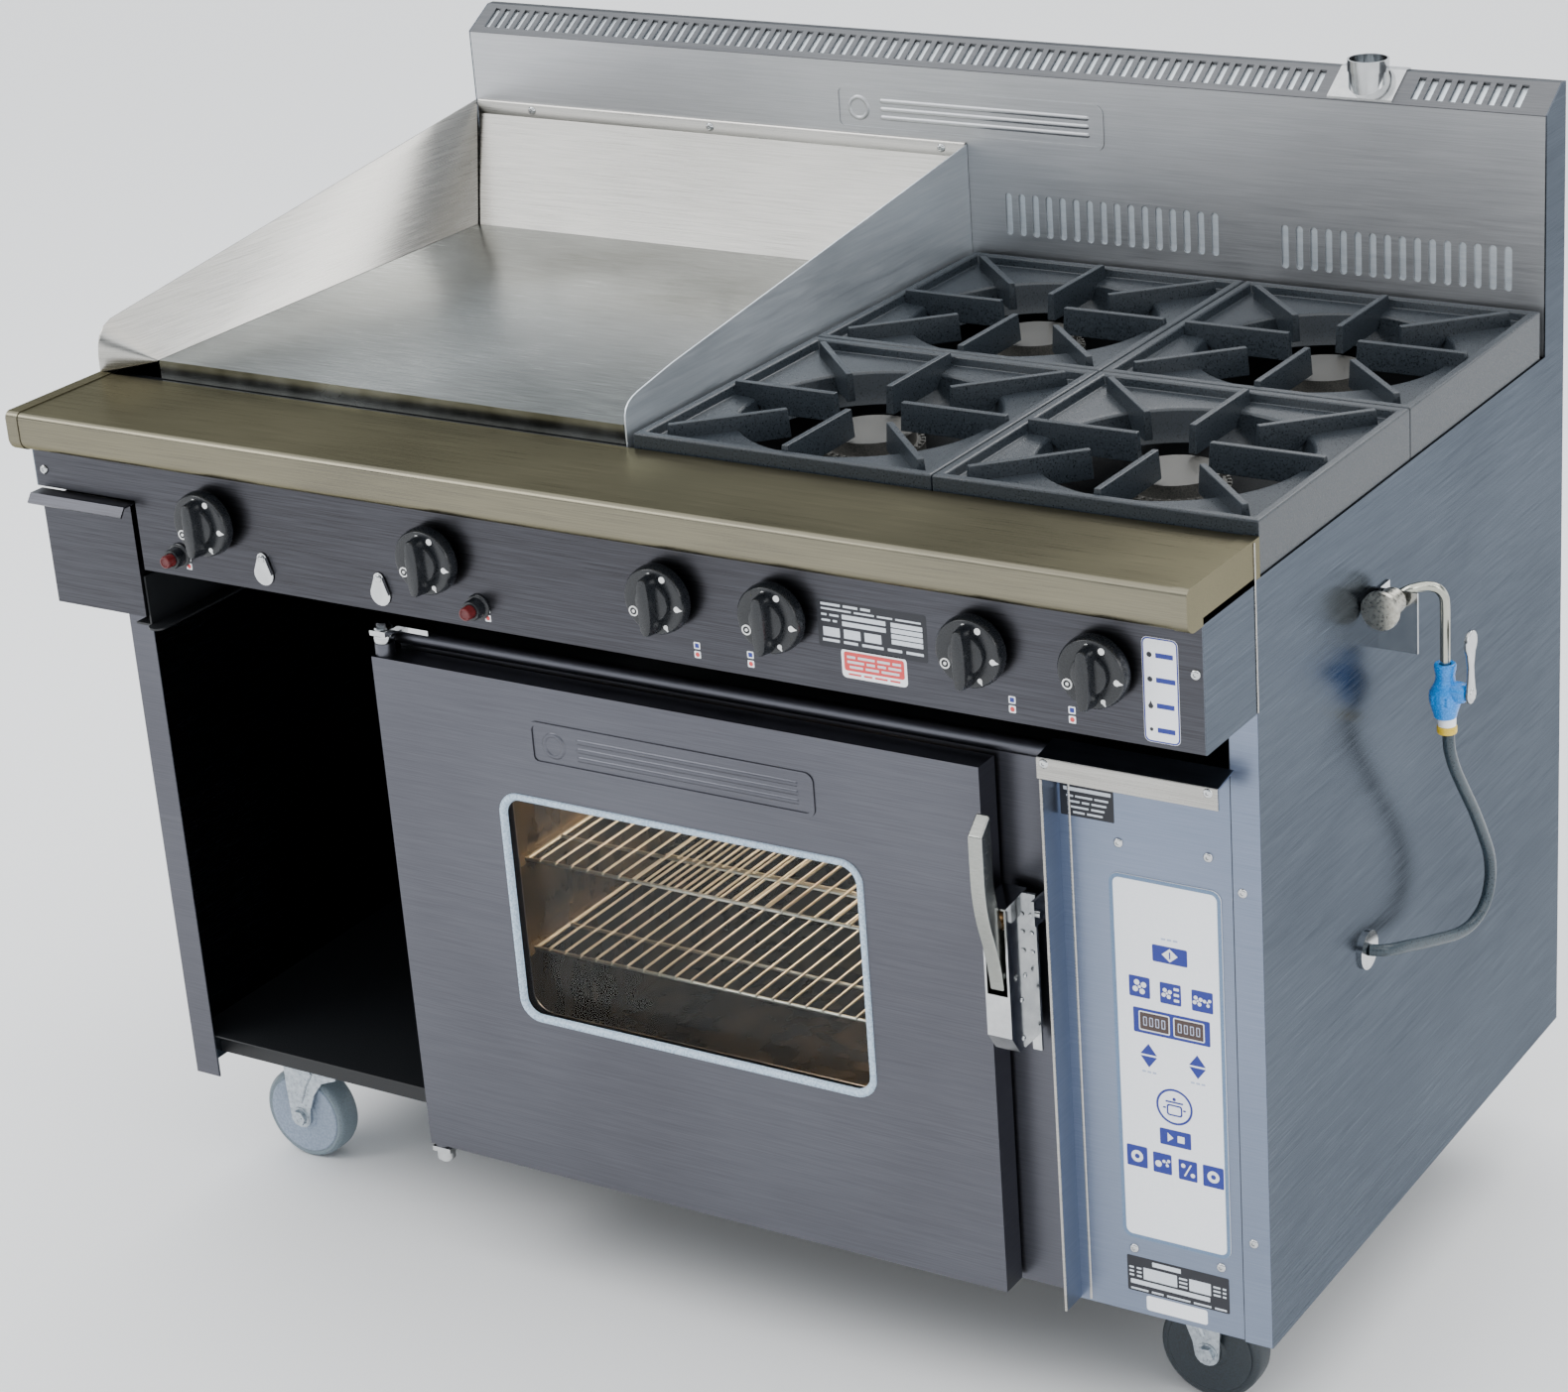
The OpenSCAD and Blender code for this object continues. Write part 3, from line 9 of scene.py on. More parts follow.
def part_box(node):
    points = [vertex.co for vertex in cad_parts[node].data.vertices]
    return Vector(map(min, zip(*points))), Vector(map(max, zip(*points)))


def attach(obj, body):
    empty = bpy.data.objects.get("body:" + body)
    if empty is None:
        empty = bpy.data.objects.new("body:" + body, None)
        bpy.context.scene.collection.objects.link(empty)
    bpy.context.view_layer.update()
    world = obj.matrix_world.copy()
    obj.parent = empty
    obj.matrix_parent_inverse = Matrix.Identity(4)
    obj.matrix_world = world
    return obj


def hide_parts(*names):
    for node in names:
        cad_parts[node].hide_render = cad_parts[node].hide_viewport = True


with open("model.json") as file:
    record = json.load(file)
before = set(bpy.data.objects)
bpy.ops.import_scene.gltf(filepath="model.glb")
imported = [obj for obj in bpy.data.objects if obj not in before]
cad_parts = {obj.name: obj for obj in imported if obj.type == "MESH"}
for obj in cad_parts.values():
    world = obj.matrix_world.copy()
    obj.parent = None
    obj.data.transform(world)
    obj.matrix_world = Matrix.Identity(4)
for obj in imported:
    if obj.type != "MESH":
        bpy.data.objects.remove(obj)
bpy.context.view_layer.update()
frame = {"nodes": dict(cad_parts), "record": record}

# Drawing axes: x = 0 at the left side panel, y = 0 at the front of the body, both taken
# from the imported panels. Every length below is in millimetres on those axes.
MM = 0.001
BODY_DEPTH = 672
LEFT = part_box("side_panel_left")[0].x
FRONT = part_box("rear_panel")[1].y - BODY_DEPTH * MM


def at(x, y, z):
    """Point in metres from drawing millimetres."""
    return Vector((LEFT + x * MM, FRONT + y * MM, z * MM))


# ---- camera
IMAGE_W, IMAGE_H = 1580, 1403
FOCAL = 3674.2
AXIS_U, AXIS_V = 985.5, 678.4
YAW, PITCH, ROLL = 0.53736, 0.39016, -0.05537
CAMERA_PLACE = (2412.7, -2439.2, 1888.4)
SENSOR_WIDTH = 36


def make_camera():
    forward = Vector((-math.sin(YAW) * math.cos(PITCH), math.cos(YAW) * math.cos(PITCH),
                      -math.sin(PITCH)))
    right = Vector((math.cos(YAW), math.sin(YAW), 0))
    down = forward.cross(right)
    right_r = math.cos(ROLL) * right - math.sin(ROLL) * down
    down_r = math.sin(ROLL) * right + math.cos(ROLL) * down
    camera = bpy.data.cameras.new("camera")
    camera.sensor_fit = "HORIZONTAL"
    camera.sensor_width = SENSOR_WIDTH
    camera.lens = SENSOR_WIDTH * FOCAL / IMAGE_W
    camera.shift_x = (IMAGE_W / 2 - AXIS_U) / IMAGE_W
    camera.shift_y = (AXIS_V - IMAGE_H / 2) / IMAGE_W
    camera.clip_end = 50
    obj = bpy.data.objects.new("camera", camera)
    bpy.context.scene.collection.objects.link(obj)
    turn = Matrix((right_r, -down_r, -forward)).transposed().to_4x4()
    obj.matrix_world = Matrix.Translation(at(*CAMERA_PLACE)) @ turn
    bpy.context.scene.camera = obj


make_camera()


# ---- materials
def linear(code, alpha=1.0):
    """Linear colour from an sRGB hex string."""
    out = []
    for i in (0, 2, 4):
        c = int(code[i:i + 2], 16) / 255
        out.append(c / 12.92 if c <= 0.04045 else ((c + 0.055) / 1.055) ** 2.4)
    return (*out, alpha)


def add_node(tree, kind, settings=None, **links):
    """Adds a node; settings are attributes or socket values, links are sources by socket name."""
    node = tree.nodes.new(kind)
    for key, value in (settings or {}).items():
        if key in node.inputs:
            node.inputs[key].default_value = value
        elif key.isdigit():
            node.inputs[int(key)].default_value = value
        else:
            setattr(node, key, value)
    for key, source in links.items():
        socket = node.inputs[int(key[1:])] if key[0] == "_" and key[1:].isdigit() \
            else node.inputs[key.replace("_", " ")]
        tree.links.new(source, socket)
    return node


def new_material(name, **shader):
    """A named material with its Principled shader set from keyword values."""
    material = bpy.data.materials.new(name)
    material.use_nodes = True
    tree = material.node_tree
    principled = tree.nodes["Principled BSDF"]
    for key, value in shader.items():
        principled.inputs[key.replace("_", " ")].default_value = value
    return material, tree, principled


def position(tree, scale):
    """Object coordinates scaled so that one unit is the pattern's own size."""
    coords = add_node(tree, "ShaderNodeTexCoord")
    return add_node(tree, "ShaderNodeMapping", {"Scale": scale}, Vector=coords.outputs["Object"])


def colour_ramp(tree, source, stops):
    node = add_node(tree, "ShaderNodeValToRGB", Fac=source)
    ramp = node.color_ramp
    while len(ramp.elements) < len(stops):
        ramp.elements.new(0.5)
    for element, (place, colour) in zip(ramp.elements, stops):
        element.position = place
        element.color = colour
    return node


def brushed(name, low, high, grain, roughness, spread=0.06, blotch=260, bump=0.04, edge="ffffff"):
    """Sheet steel ground with a belt: hair lines along the sheet, a few tenths of a
    millimetre apart on the real thing, drawn coarser so that they show, and broad
    patches of tone: marks where the sheet was handled, and on the side sheets painted
    reflection. grain gives the line spacing in mm along each axis, edge the tint of what it
    mirrors at a flat angle."""
    material, tree, shader = new_material(name, Metallic=1.0)
    shader.inputs["Specular Tint"].default_value = linear(edge)
    lines = add_node(tree, "ShaderNodeTexNoise", {"Scale": 1.0, "Detail": 3.0, "Roughness": 0.6},
                     Vector=position(tree, [1 / (g * MM) for g in grain]).outputs["Vector"])
    cloud = add_node(tree, "ShaderNodeTexNoise", {"Scale": 1 / (blotch * MM), "Detail": 2.0},
                     Vector=position(tree, (1, 1, 1)).outputs["Vector"])
    mixed = add_node(tree, "ShaderNodeMix", {"data_type": "FLOAT", "0": 0.45},
                     _2=lines.outputs["Fac"], _3=cloud.outputs["Fac"])
    tone = colour_ramp(tree, mixed.outputs[0], [(0.3, linear(low)), (0.7, linear(high))])
    tree.links.new(tone.outputs["Color"], shader.inputs["Base Color"])
    rough = add_node(tree, "ShaderNodeMapRange",
                     {"From Min": 0.3, "From Max": 0.7, "To Min": roughness - spread,
                      "To Max": roughness + spread}, Value=mixed.outputs[0])
    tree.links.new(rough.outputs["Result"], shader.inputs["Roughness"])
    relief = add_node(tree, "ShaderNodeBump", {"Strength": bump, "Distance": 0.05 * MM},
                      Height=lines.outputs["Fac"])
    tree.links.new(relief.outputs["Normal"], shader.inputs["Normal"])
    return material


def speckled(name, low, high, grit, roughness, spread=0.08, bump=0.1, depth=0.2, **shader_values):
    """A coated, cast or moulded surface: a fine grain of grit mm in colour, gloss and relief."""
    material, tree, shader = new_material(name, **shader_values)
    grain = add_node(tree, "ShaderNodeTexNoise", {"Scale": 1 / (grit * MM), "Detail": 4.0},
                     Vector=position(tree, (1, 1, 1)).outputs["Vector"])
    tone = colour_ramp(tree, grain.outputs["Fac"], [(0.35, linear(low)), (0.65, linear(high))])
    tree.links.new(tone.outputs["Color"], shader.inputs["Base Color"])
    rough = add_node(tree, "ShaderNodeMapRange",
                     {"From Min": 0.35, "From Max": 0.65, "To Min": roughness - spread,
                      "To Max": roughness + spread}, Value=grain.outputs["Fac"])
    tree.links.new(rough.outputs["Result"], shader.inputs["Roughness"])
    relief = add_node(tree, "ShaderNodeBump", {"Strength": bump, "Distance": depth * MM},
                      Height=grain.outputs["Fac"])
    tree.links.new(relief.outputs["Normal"], shader.inputs["Normal"])
    return material


LEVEL = (60, 60, 0.8)  # belt lines that run level along the sheet

# brushed 304 sheet: soft cool grey sheen that follows what it faces
steel_front = brushed("brushed_304_sheet_front", "515157", "65666d", LEVEL, 0.34)
# lines from front to back on the sides, glossier; its blue-grey colour with broad light and dark patches
# is painted reflection and painted shade
steel_side = brushed("brushed_304_sheet_side", "3f434a", "6f7680", (0.8, 60, 0.8), 0.24, 0.08, 420,
                     edge="c8ccd0")
# splashback copy of the sheet, painted lighter: painted light where the splashback catches the light
steel_light = brushed("brushed_304_sheet_splash", "a4a5a8", "c2c3c5", LEVEL, 0.38)
# the sloping cap mirrors the dark side of the room
steel_cap = brushed("brushed_304_sheet_cap", "5e5f62", "77787a", LEVEL, 0.34, edge="b0b2b4")
# lighter copy of the sheet: painted light on the griddle guards, painted highlight on the hem strips
steel_guard = brushed("brushed_304_sheet_guard", "9d9b96", "c6c3bd", LEVEL, 0.28)
# warm yellow-grey tone: painted reflection on the front rail
steel_rail = brushed("brushed_304_sheet_rail", "68645a", "88836f", (80, 0.9, 0.9), 0.3, edge="bcb9aa")
# the control panel and the drawer face the dark floor line: warmer and darker
steel_panel = brushed("brushed_304_sheet_panel", "38373a", "58595f", LEVEL, 0.32, 0.06, 700)
# lighter blue-grey copy of the sheet: painted reflection on the control cover and the right flange skin
steel_cover = brushed("brushed_304_sheet_cover", "757f92", "8b95a8", LEVEL, 0.36)
# near-white inner sheet: painted light that makes the slots and the griddle divider read bright
steel_lining = brushed("painted_light_lining", "d4dde4", "ecf1f5", (60, 60, 3), 0.45)
# dark warm brown-gold: painted shade and painted golden reflection on the oven's interior
steel_liner = brushed("oven_liner_sheet", "1c1a17", "5e5444", (30, 30, 90), 0.28, 0.1, 70)
steel_wire = brushed("drawn_bright_wire", "c9c4b6", "e6e1d4", (2, 2, 2), 0.38)
steel_lever = brushed("ground_latch_casting", "8f918c", "a9aaa4", (6, 6, 1.2), 0.24)
steel_tube = brushed("drawn_steel_tube", "98998f", "b4b4a8", (1, 1, 30), 0.2)
# buffed stainless castings and pressings: bright, nearly mirror-like
steel_bright = brushed("buffed_stainless", "b4b6b8", "d2d3d3", (12, 12, 12), 0.14, 0.04, 90, 0.01)
# cooking plate: ground mild steel, seasoned in warm patches
steel_griddle = brushed("ground_griddle_steel", "6a6b62", "c9ccc9", (40, 0.9, 40), 0.22, 0.08, 230)
# sand cast iron with black enamel: fine grain, blue-black low gloss
iron_enamel = speckled("enamelled_cast_iron", "1b2024", "2c333a", 1.6, 0.36, 0.1, 0.35, 0.3)
# matt stove paint on sheet
paint_black = speckled("matt_stove_paint", "0a0b0d", "14171b", 1.2, 0.5, 0.08, 0.1)
# bright zinc on pressed steel: pale and slightly blue
zinc_plate = speckled("zinc_plated_steel", "a3abb2", "c3cad0", 4.0, 0.34, 0.08, 0.05, Metallic=0.9)
nickel = speckled("dull_nickel_plate", "9c998f", "bcb9ae", 3.0, 0.3, 0.06, 0.1, Metallic=1.0)
iron_bare = speckled("bare_cast_iron", "4a4a48", "66645f", 1.4, 0.5, 0.1, 0.3, Metallic=0.6)
brass_turned = speckled("turned_brass", "8f7440", "b3934f", 6.0, 0.3, 0.05, 0.03, Metallic=1.0)
bronze_roller = speckled("worn_bronze_roller", "a8763f", "e0b684", 3.0, 0.3, 0.06, 0.1, Metallic=0.7)
# phenolic mouldings: black with a soft gloss
phenolic = speckled("black_phenolic", "0f1114", "1c1f24", 0.8, 0.28, 0.05, 0.05, 0.05)
phenolic_red = speckled("red_phenolic", "4a1214", "66191b", 0.8, 0.35, 0.05, 0.05, 0.05)
film_white = speckled("polyester_film", "f0f3f8", "fbfcfe", 0.6, 0.35, 0.05, 0.03, 0.03)
pad_edge = speckled("pad_edge_seal", "5d7592", "6d86a3", 0.8, 0.45, 0.05, 0.05, 0.05)
silicone_blue = speckled("silicone_gasket", "9db6cc", "c4d6e6", 2.0, 0.3, 0.08, 0.08)
rope_seal = speckled("glass_fibre_rope", "2a2a2a", "404040", 1.5, 0.9, 0.05, 0.8, 0.6)
rubber_grey = speckled("grey_tread_rubber", "66737b", "7b8890", 1.4, 0.5, 0.08, 0.12)
moulded_grey = speckled("moulded_grey_nylon", "7d8a9c", "93a0b2", 2.5, 0.4, 0.08, 0.06)
rubber_black = speckled("black_tread_rubber", "182024", "28323a", 1.4, 0.42, 0.08, 0.12)
rubber_hose = speckled("nitrile_hose", "1f2a31", "33424b", 1.5, 0.34, 0.08, 0.1)
coat_blue = speckled("blue_plastic_coat", "0a72c4", "1590ea", 1.5, 0.25, 0.06, 0.05)
nylon_yellow = speckled("yellow_nylon", "c9a321", "e6c63f", 1.0, 0.35, 0.05, 0.05)


def ink(name, low, high, roughness=0.5):
    """Flat satin film over a label."""
    return speckled(name, low, high, 0.5, roughness, 0.05, 0.02, 0.02)


ink_white = ink("white_printing_ink", "e8e8e6", "f4f4f2")
ink_blue = ink("blue_printing_ink", "16267c", "1d2f8f", 0.45)
ink_red = ink("red_printing_ink", "d0393c", "de4a4a")
ink_black = ink("black_printing_ink", "14151c", "1d1f28")
ink_silver = ink("silver_printing_ink", "ccd2da", "dde2e8", 0.4)
ink_faint = ink("faint_blue_ink", "a9b3d0", "b9c2da")
display_brown = speckled("unlit_display_window", "3a2a26", "4a3830", 0.8, 0.2, 0.05, 0.02, 0.02)


def glass():
    """Toughened float glass with a coated, nearly glare-free face, and a faint film of dust."""
    material, tree, shader = new_material("toughened_glass", Metallic=0.0, IOR=1.15)
    shader.inputs["Transmission Weight"].default_value = 1.0
    dust = add_node(tree, "ShaderNodeTexNoise", {"Scale": 1 / (40 * MM), "Detail": 5.0},
                    Vector=position(tree, (1, 1, 1)).outputs["Vector"])
    tone = colour_ramp(tree, dust.outputs["Fac"], [(0.3, linear("f2f6f5")), (0.7, linear("ffffff"))])
    tree.links.new(tone.outputs["Color"], shader.inputs["Base Color"])
    rough = add_node(tree, "ShaderNodeMapRange", {"To Min": 0.0, "To Max": 0.04},
                     Value=dust.outputs["Fac"])
    tree.links.new(rough.outputs["Result"], shader.inputs["Roughness"])
    return material


door_glass = glass()

FINISH = {
    "stainless": steel_front, "bright_steel": steel_bright, "griddle_steel": steel_griddle,
    "cast_iron": iron_enamel, "black_paint": paint_black, "zinc": zinc_plate,
    "burner_iron": iron_bare, "brass": brass_turned, "black_plastic": phenolic,
    "red_plastic": phenolic_red, "pad_film": film_white, "door_glass": door_glass,
    "gasket_silicone": silicone_blue, "seal_rope": rope_seal, "wheel_grey": rubber_grey,
    "wheel_black": rubber_black, "hose_rubber": rubber_hose, "torch_blue": coat_blue,
}
OWN_FINISH = {
    "side_panel_left": steel_side, "side_panel_right": steel_side, "rear_panel": steel_side,
    "splashback": steel_light, "vent_cap": steel_cap, "front_rail": steel_rail,
    "control_cover": steel_cover, "control_panel": steel_panel, "grease_drawer": steel_panel,
    "oven_liner": steel_liner,
}


def finish_cad_nodes():
    for part in frame["record"]["subparts"]:
        node = frame["nodes"][part["node"]]
        material = OWN_FINISH.get(part["node"], FINISH[part["material_slot"]])
        if not node.material_slots:
            node.data.materials.append(material)
        for place in node.material_slots:
            place.material = material


finish_cad_nodes()


# ---- torch hose
HOSE_ROUTE = [(1268, 279, 606), (1268, 281, 590), (1268, 292, 568), (1268, 312, 540),
              (1268, 336, 508), (1267, 360, 474), (1266, 378, 444), (1264, 385, 416),
              (1262, 376, 394), (1259, 354, 384), (1256, 326, 386), (1252, 296, 394),
              (1248, 268, 402), (1244, 245, 409), (1240, 226, 414), (1234, 212, 417.5),
              (1223, 207, 418)]
HOSE_DIAMETER = 11
HOSE_STEPS = 4


def smooth_route(points, steps):
    """Points of a Catmull-Rom curve through the route."""
    line = []
    last = len(points) - 1
    for i in range(last):
        a, b, c, d = (Vector(points[min(max(k, 0), last)]) for k in (i - 1, i, i + 1, i + 2))
        for s in range(steps):
            t = s / steps
            line.append(0.5 * (2 * b + (c - a) * t + (2 * a - 5 * b + 4 * c - d) * t ** 2
                               + (3 * b - a - 3 * c + d) * t ** 3))
    line.append(Vector(points[last]))
    return line


def make_hose():
    line = [at(*p) for p in smooth_route(HOSE_ROUTE, HOSE_STEPS)]
    curve = bpy.data.curves.new("torch_hose", "CURVE")
    curve.dimensions = "3D"
    curve.bevel_depth = HOSE_DIAMETER / 2 * MM
    curve.bevel_resolution = 5
    curve.use_fill_caps = True
    spline = curve.splines.new("POLY")
    spline.points.add(len(line) - 1)
    for point, place in zip(spline.points, line):
        point.co = (*place, 1)
    spline.use_smooth = True
    curve.materials.append(rubber_hose)
    hose = bpy.data.objects.new("torch_hose", curve)
    bpy.context.scene.collection.objects.link(hose)
    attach(hose, "range")
    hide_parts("hose")


make_hose()

# ---- mesh tools
AXES = {"x": lambda a, b, h: (h, a, b), "y": lambda a, b, h: (a, h, b),
        "z": lambda a, b, h: (a, b, h)}


def prism(bm, outline, lo, hi, axis):
    """Closed solid: an outline in the plane across the axis, pulled from lo to hi."""
    place = AXES[axis]
    lower = [bm.verts.new(place(a, b, lo)) for a, b in outline]
    upper = [bm.verts.new(place(a, b, hi)) for a, b in outline]
    n = len(outline)
    bm.faces.new(lower[::-1])
    bm.faces.new(upper)
    for i in range(n):
        j = (i + 1) % n
        bm.faces.new((lower[i], lower[j], upper[j], upper[i]))
    return lower + upper


def block(bm, x0, x1, y0, y1, z0, z1):
    return prism(bm, [(x0, y0), (x1, y0), (x1, y1), (x0, y1)], z0, z1, "z")


def loft(bm, loops, close=False):
    """Skin over loops of equal length; close joins the last loop to the first."""
    rings = [[bm.verts.new(p) for p in loop] for loop in loops]
    n = len(rings[0])
    pairs = list(zip(rings, rings[1:]))
    if close:
        pairs.append((rings[-1], rings[0]))
    else:
        bm.faces.new(rings[0][::-1])
        bm.faces.new(rings[-1])
    for low, high in pairs:
        for i in range(n):
            j = (i + 1) % n
            bm.faces.new((low[i], low[j], high[j], high[i]))
    return [v for ring in rings for v in ring]


def lathe(bm, profile, a, b, axis, steps=40, close=False):
    """Turned solid: profile of (radius, height along the axis) about the axis through (a, b)."""
    place = AXES[axis]
    turns = [math.tau * k / steps for k in range(steps)]
    loops = [[place(a + r * math.cos(t), b + r * math.sin(t), h) for t in turns]
             for r, h in profile]
    return loft(bm, loops, close)


def tube(bm, line, radius, sides=12):
    """Round bar along a line of points, with flat ends."""
    line = [Vector(p) for p in line]
    loops = []
    side = None
    for i, p in enumerate(line):
        ahead = (line[min(i + 1, len(line) - 1)] - line[max(i - 1, 0)]).normalized()
        if side is None:
            side = ahead.orthogonal().normalized()
        side = (side - ahead * side.dot(ahead)).normalized()
        up = ahead.cross(side)
        loops.append([p + radius * (math.cos(t) * side + math.sin(t) * up)
                      for t in (math.tau * k / sides for k in range(sides))])
    return loft(bm, loops)


def rounded(x0, x1, z0, z1, r, steps=6):
    """Outline of a rectangle with round corners."""
    out = []
    for cx, cz, start in ((x1 - r, z1 - r, 0), (x0 + r, z1 - r, 90), (x0 + r, z0 + r, 180),
                          (x1 - r, z0 + r, 270)):
        for k in range(steps + 1):
            t = math.radians(start + 90 * k / steps)
            out.append((cx + r * math.cos(t), cz + r * math.sin(t)))
    return out


def circle(a, b, r, steps=20):
    return [(a + r * math.cos(math.tau * k / steps), b + r * math.sin(math.tau * k / steps))
            for k in range(steps)]


def arc(a, b, r, start, stop, step=20):
    """Points on a circle every step degrees, from start up to but not including stop."""
    return [(a + r * math.cos(math.radians(t)), b + r * math.sin(math.radians(t)))
            for t in range(start, stop, step)]


def prism_ring(bm, a, b, outer, inner, lo, hi, axis="y", steps=28):
    """Flat ring about (a, b) from lo to hi along the axis."""
    place = AXES[axis]
    loft(bm, [[place(p, q, h) for p, q in circle(a, b, r, steps)]
              for r, h in ((outer, lo), (outer, hi), (inner, hi), (inner, lo))], close=True)


def turn(verts, centre, angle):
    """Turns vertices about the upright line through the centre."""
    spin = Matrix.Rotation(angle, 3, "Z")
    for v in verts:
        v.co = Vector(centre) + spin @ (v.co - Vector(centre))


def piece(name, bm, material, body, replaces=(), edge=0.0, segments=2, angle=35):
    """Makes the object from drawing millimetres, rounds its edges and puts it on its body."""
    bmesh.ops.recalc_face_normals(bm, faces=bm.faces[:])
    for v in bm.verts:
        v.co = at(*v.co)
    mesh = bpy.data.meshes.new(name)
    bm.to_mesh(mesh)
    bm.free()
    for polygon in mesh.polygons:
        polygon.use_smooth = True
    mesh.set_sharp_from_angle(angle=math.radians(angle))
    mesh.materials.append(material)
    obj = bpy.data.objects.new(name, mesh)
    bpy.context.scene.collection.objects.link(obj)
    if edge:
        soften(obj, edge, segments, angle)
    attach(obj, body)
    if replaces:
        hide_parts(*replaces)
    return obj


def soften(obj, edge, segments=2, angle=35):
    """Rounds the sharp edges by edge millimetres."""
    bevel = obj.modifiers.new("soft_edges", "BEVEL")
    bevel.width = edge * MM
    bevel.segments = segments
    bevel.limit_method = "ANGLE"
    bevel.angle_limit = math.radians(angle)
    bevel.harden_normals = True


# ---- pan supports
HOB_TOP = 888
HOB_LEFT, HOB_FRONT = 614.8, 12
TRIVET_PITCH = 302.1
HALF = 150.45          # half the side of one trivet
EYE = 118              # radius of the dished opening
FINGER_TOP = HOB_TOP + 4
FINGER_HALF_TOP, FINGER_HALF_FOOT = 3.0, 4.2
# the frame's section as (inset from its side, height) and (distance out from the eye, height)
RIM_SECTION = ((7, 841.5), (0, 841.5), (0, 886.8), (1.2, HOB_TOP), (7.5, HOB_TOP), (9, 887),
               (10.5, 879.6), (14, 879))
EYE_SECTION = ((8, 878.4), (2, 877.6), (0, 876), (-3, 862), (-10, 849), (-6, 848.4), (2, 862),
               (4, 873.5))
UNDER_SECTION = ((14, 874), (8, 872))
# inner and outer reach of a finger, and its turn from the trivet's sides in degrees
FINGERS = ((33, 141, 0), (73, 182, 45))
HOB_X = (HOB_LEFT + TRIVET_PITCH / 2, HOB_LEFT + 1.5 * TRIVET_PITCH)
HOB_Y = (HOB_FRONT + TRIVET_PITCH / 2, HOB_FRONT + 1.5 * TRIVET_PITCH)


def square_loop(half, z, x, y, steps=64):
    """Square of points at even angles, so that it skins cleanly to a round loop."""
    out = []
    for k in range(steps):
        t = math.tau * k / steps
        reach = half / max(abs(math.cos(t)), abs(math.sin(t)))
        out.append((x + reach * math.cos(t), y + reach * math.sin(t), z))
    return out


def make_trivet(name, x, y):
    """Cast frame with a dished round opening and eight tapered fingers."""
    bm = bmesh.new()
    loft(bm, [square_loop(HALF - inset, z, x, y) for inset, z in RIM_SECTION]
         + [[(a, b, z) for a, b in circle(x, y, EYE + out, 64)] for out, z in EYE_SECTION]
         + [square_loop(HALF - inset, z, x, y) for inset, z in UNDER_SECTION], close=True)
    for quarter in range(4):
        for inner, outer, offset in FINGERS:
            outline = [(inner + 1.5, FINGER_TOP), (outer - 1, FINGER_TOP), (outer + 0.5, 877),
                       (123, 877), (115, 871), (109, 865.5), (inner, 865.5)]
            sides = [[(x + r, y + side * (FINGER_HALF_TOP if z == FINGER_TOP else FINGER_HALF_FOOT), z)
                      for r, z in outline] for side in (-1, 1)]
            turn(loft(bm, sides), (x, y, 0), math.radians(90 * quarter + offset))
    piece(name, bm, iron_enamel, name + "_body", (name,), edge=1.1, segments=3,
          angle=30)


for row, y in zip(("front", "rear"), HOB_Y):
    for column, x in zip(("left", "right"), HOB_X):
        make_trivet("trivet_%s_%s" % (row, column), x, y)


# ---- burners
BURNER_TEETH = 36


def make_burners():
    """Turned head with a ring of teeth under a loose cap, one in each trivet's eye."""
    bm = bmesh.new()
    for x in HOB_X:
        for y in HOB_Y:
            lathe(bm, [(16, 786), (16, 806), (30, 812), (46, 820), (48, 826), (48, 846),
                       (46.5, 849), (38, 850), (20, 850), (2, 850)], x, y, "z")
            lathe(bm, [(36, 850.6), (39, 851.5), (40, 855), (38.5, 859.5), (33, 861.5), (12, 861),
                       (9, 860.2), (2, 860)], x, y, "z")
            for k in range(BURNER_TEETH):
                turn(block(bm, x + 44, x + 47.5, y - 1.5, y + 1.5, 849.2, 852), (x, y, 0),
                     math.tau * k / BURNER_TEETH)
    piece("burner_heads", bm, iron_bare, "range", edge=0.5)


make_burners()


# ---- knobs
KNOB_X = (212, 466, 711, 825, 1016, 1128)
KNOB_Z = 789
SKIRT_FACE = -111.4    # the ring of the skirt that carries the marks
MARK_RADIUS = 24.3
# kind, turn from the top in degrees, size
KNOB_MARKS = (("dot", 4, 2.0), ("dot", -28, 2.9), ("drop", -98, 2.6), ("drop", -152, 2.1))


def drop_outline(a, b, r, spin):
    """A drop of radius r, its point turned to the given angle."""
    out = arc(0, 0, r, 130, 411, 14) + [(0.0, r * 2.1)]
    c, s = math.cos(spin), math.sin(spin)
    return [(a + c * p - s * q, b + s * p + c * q) for p, q in out]


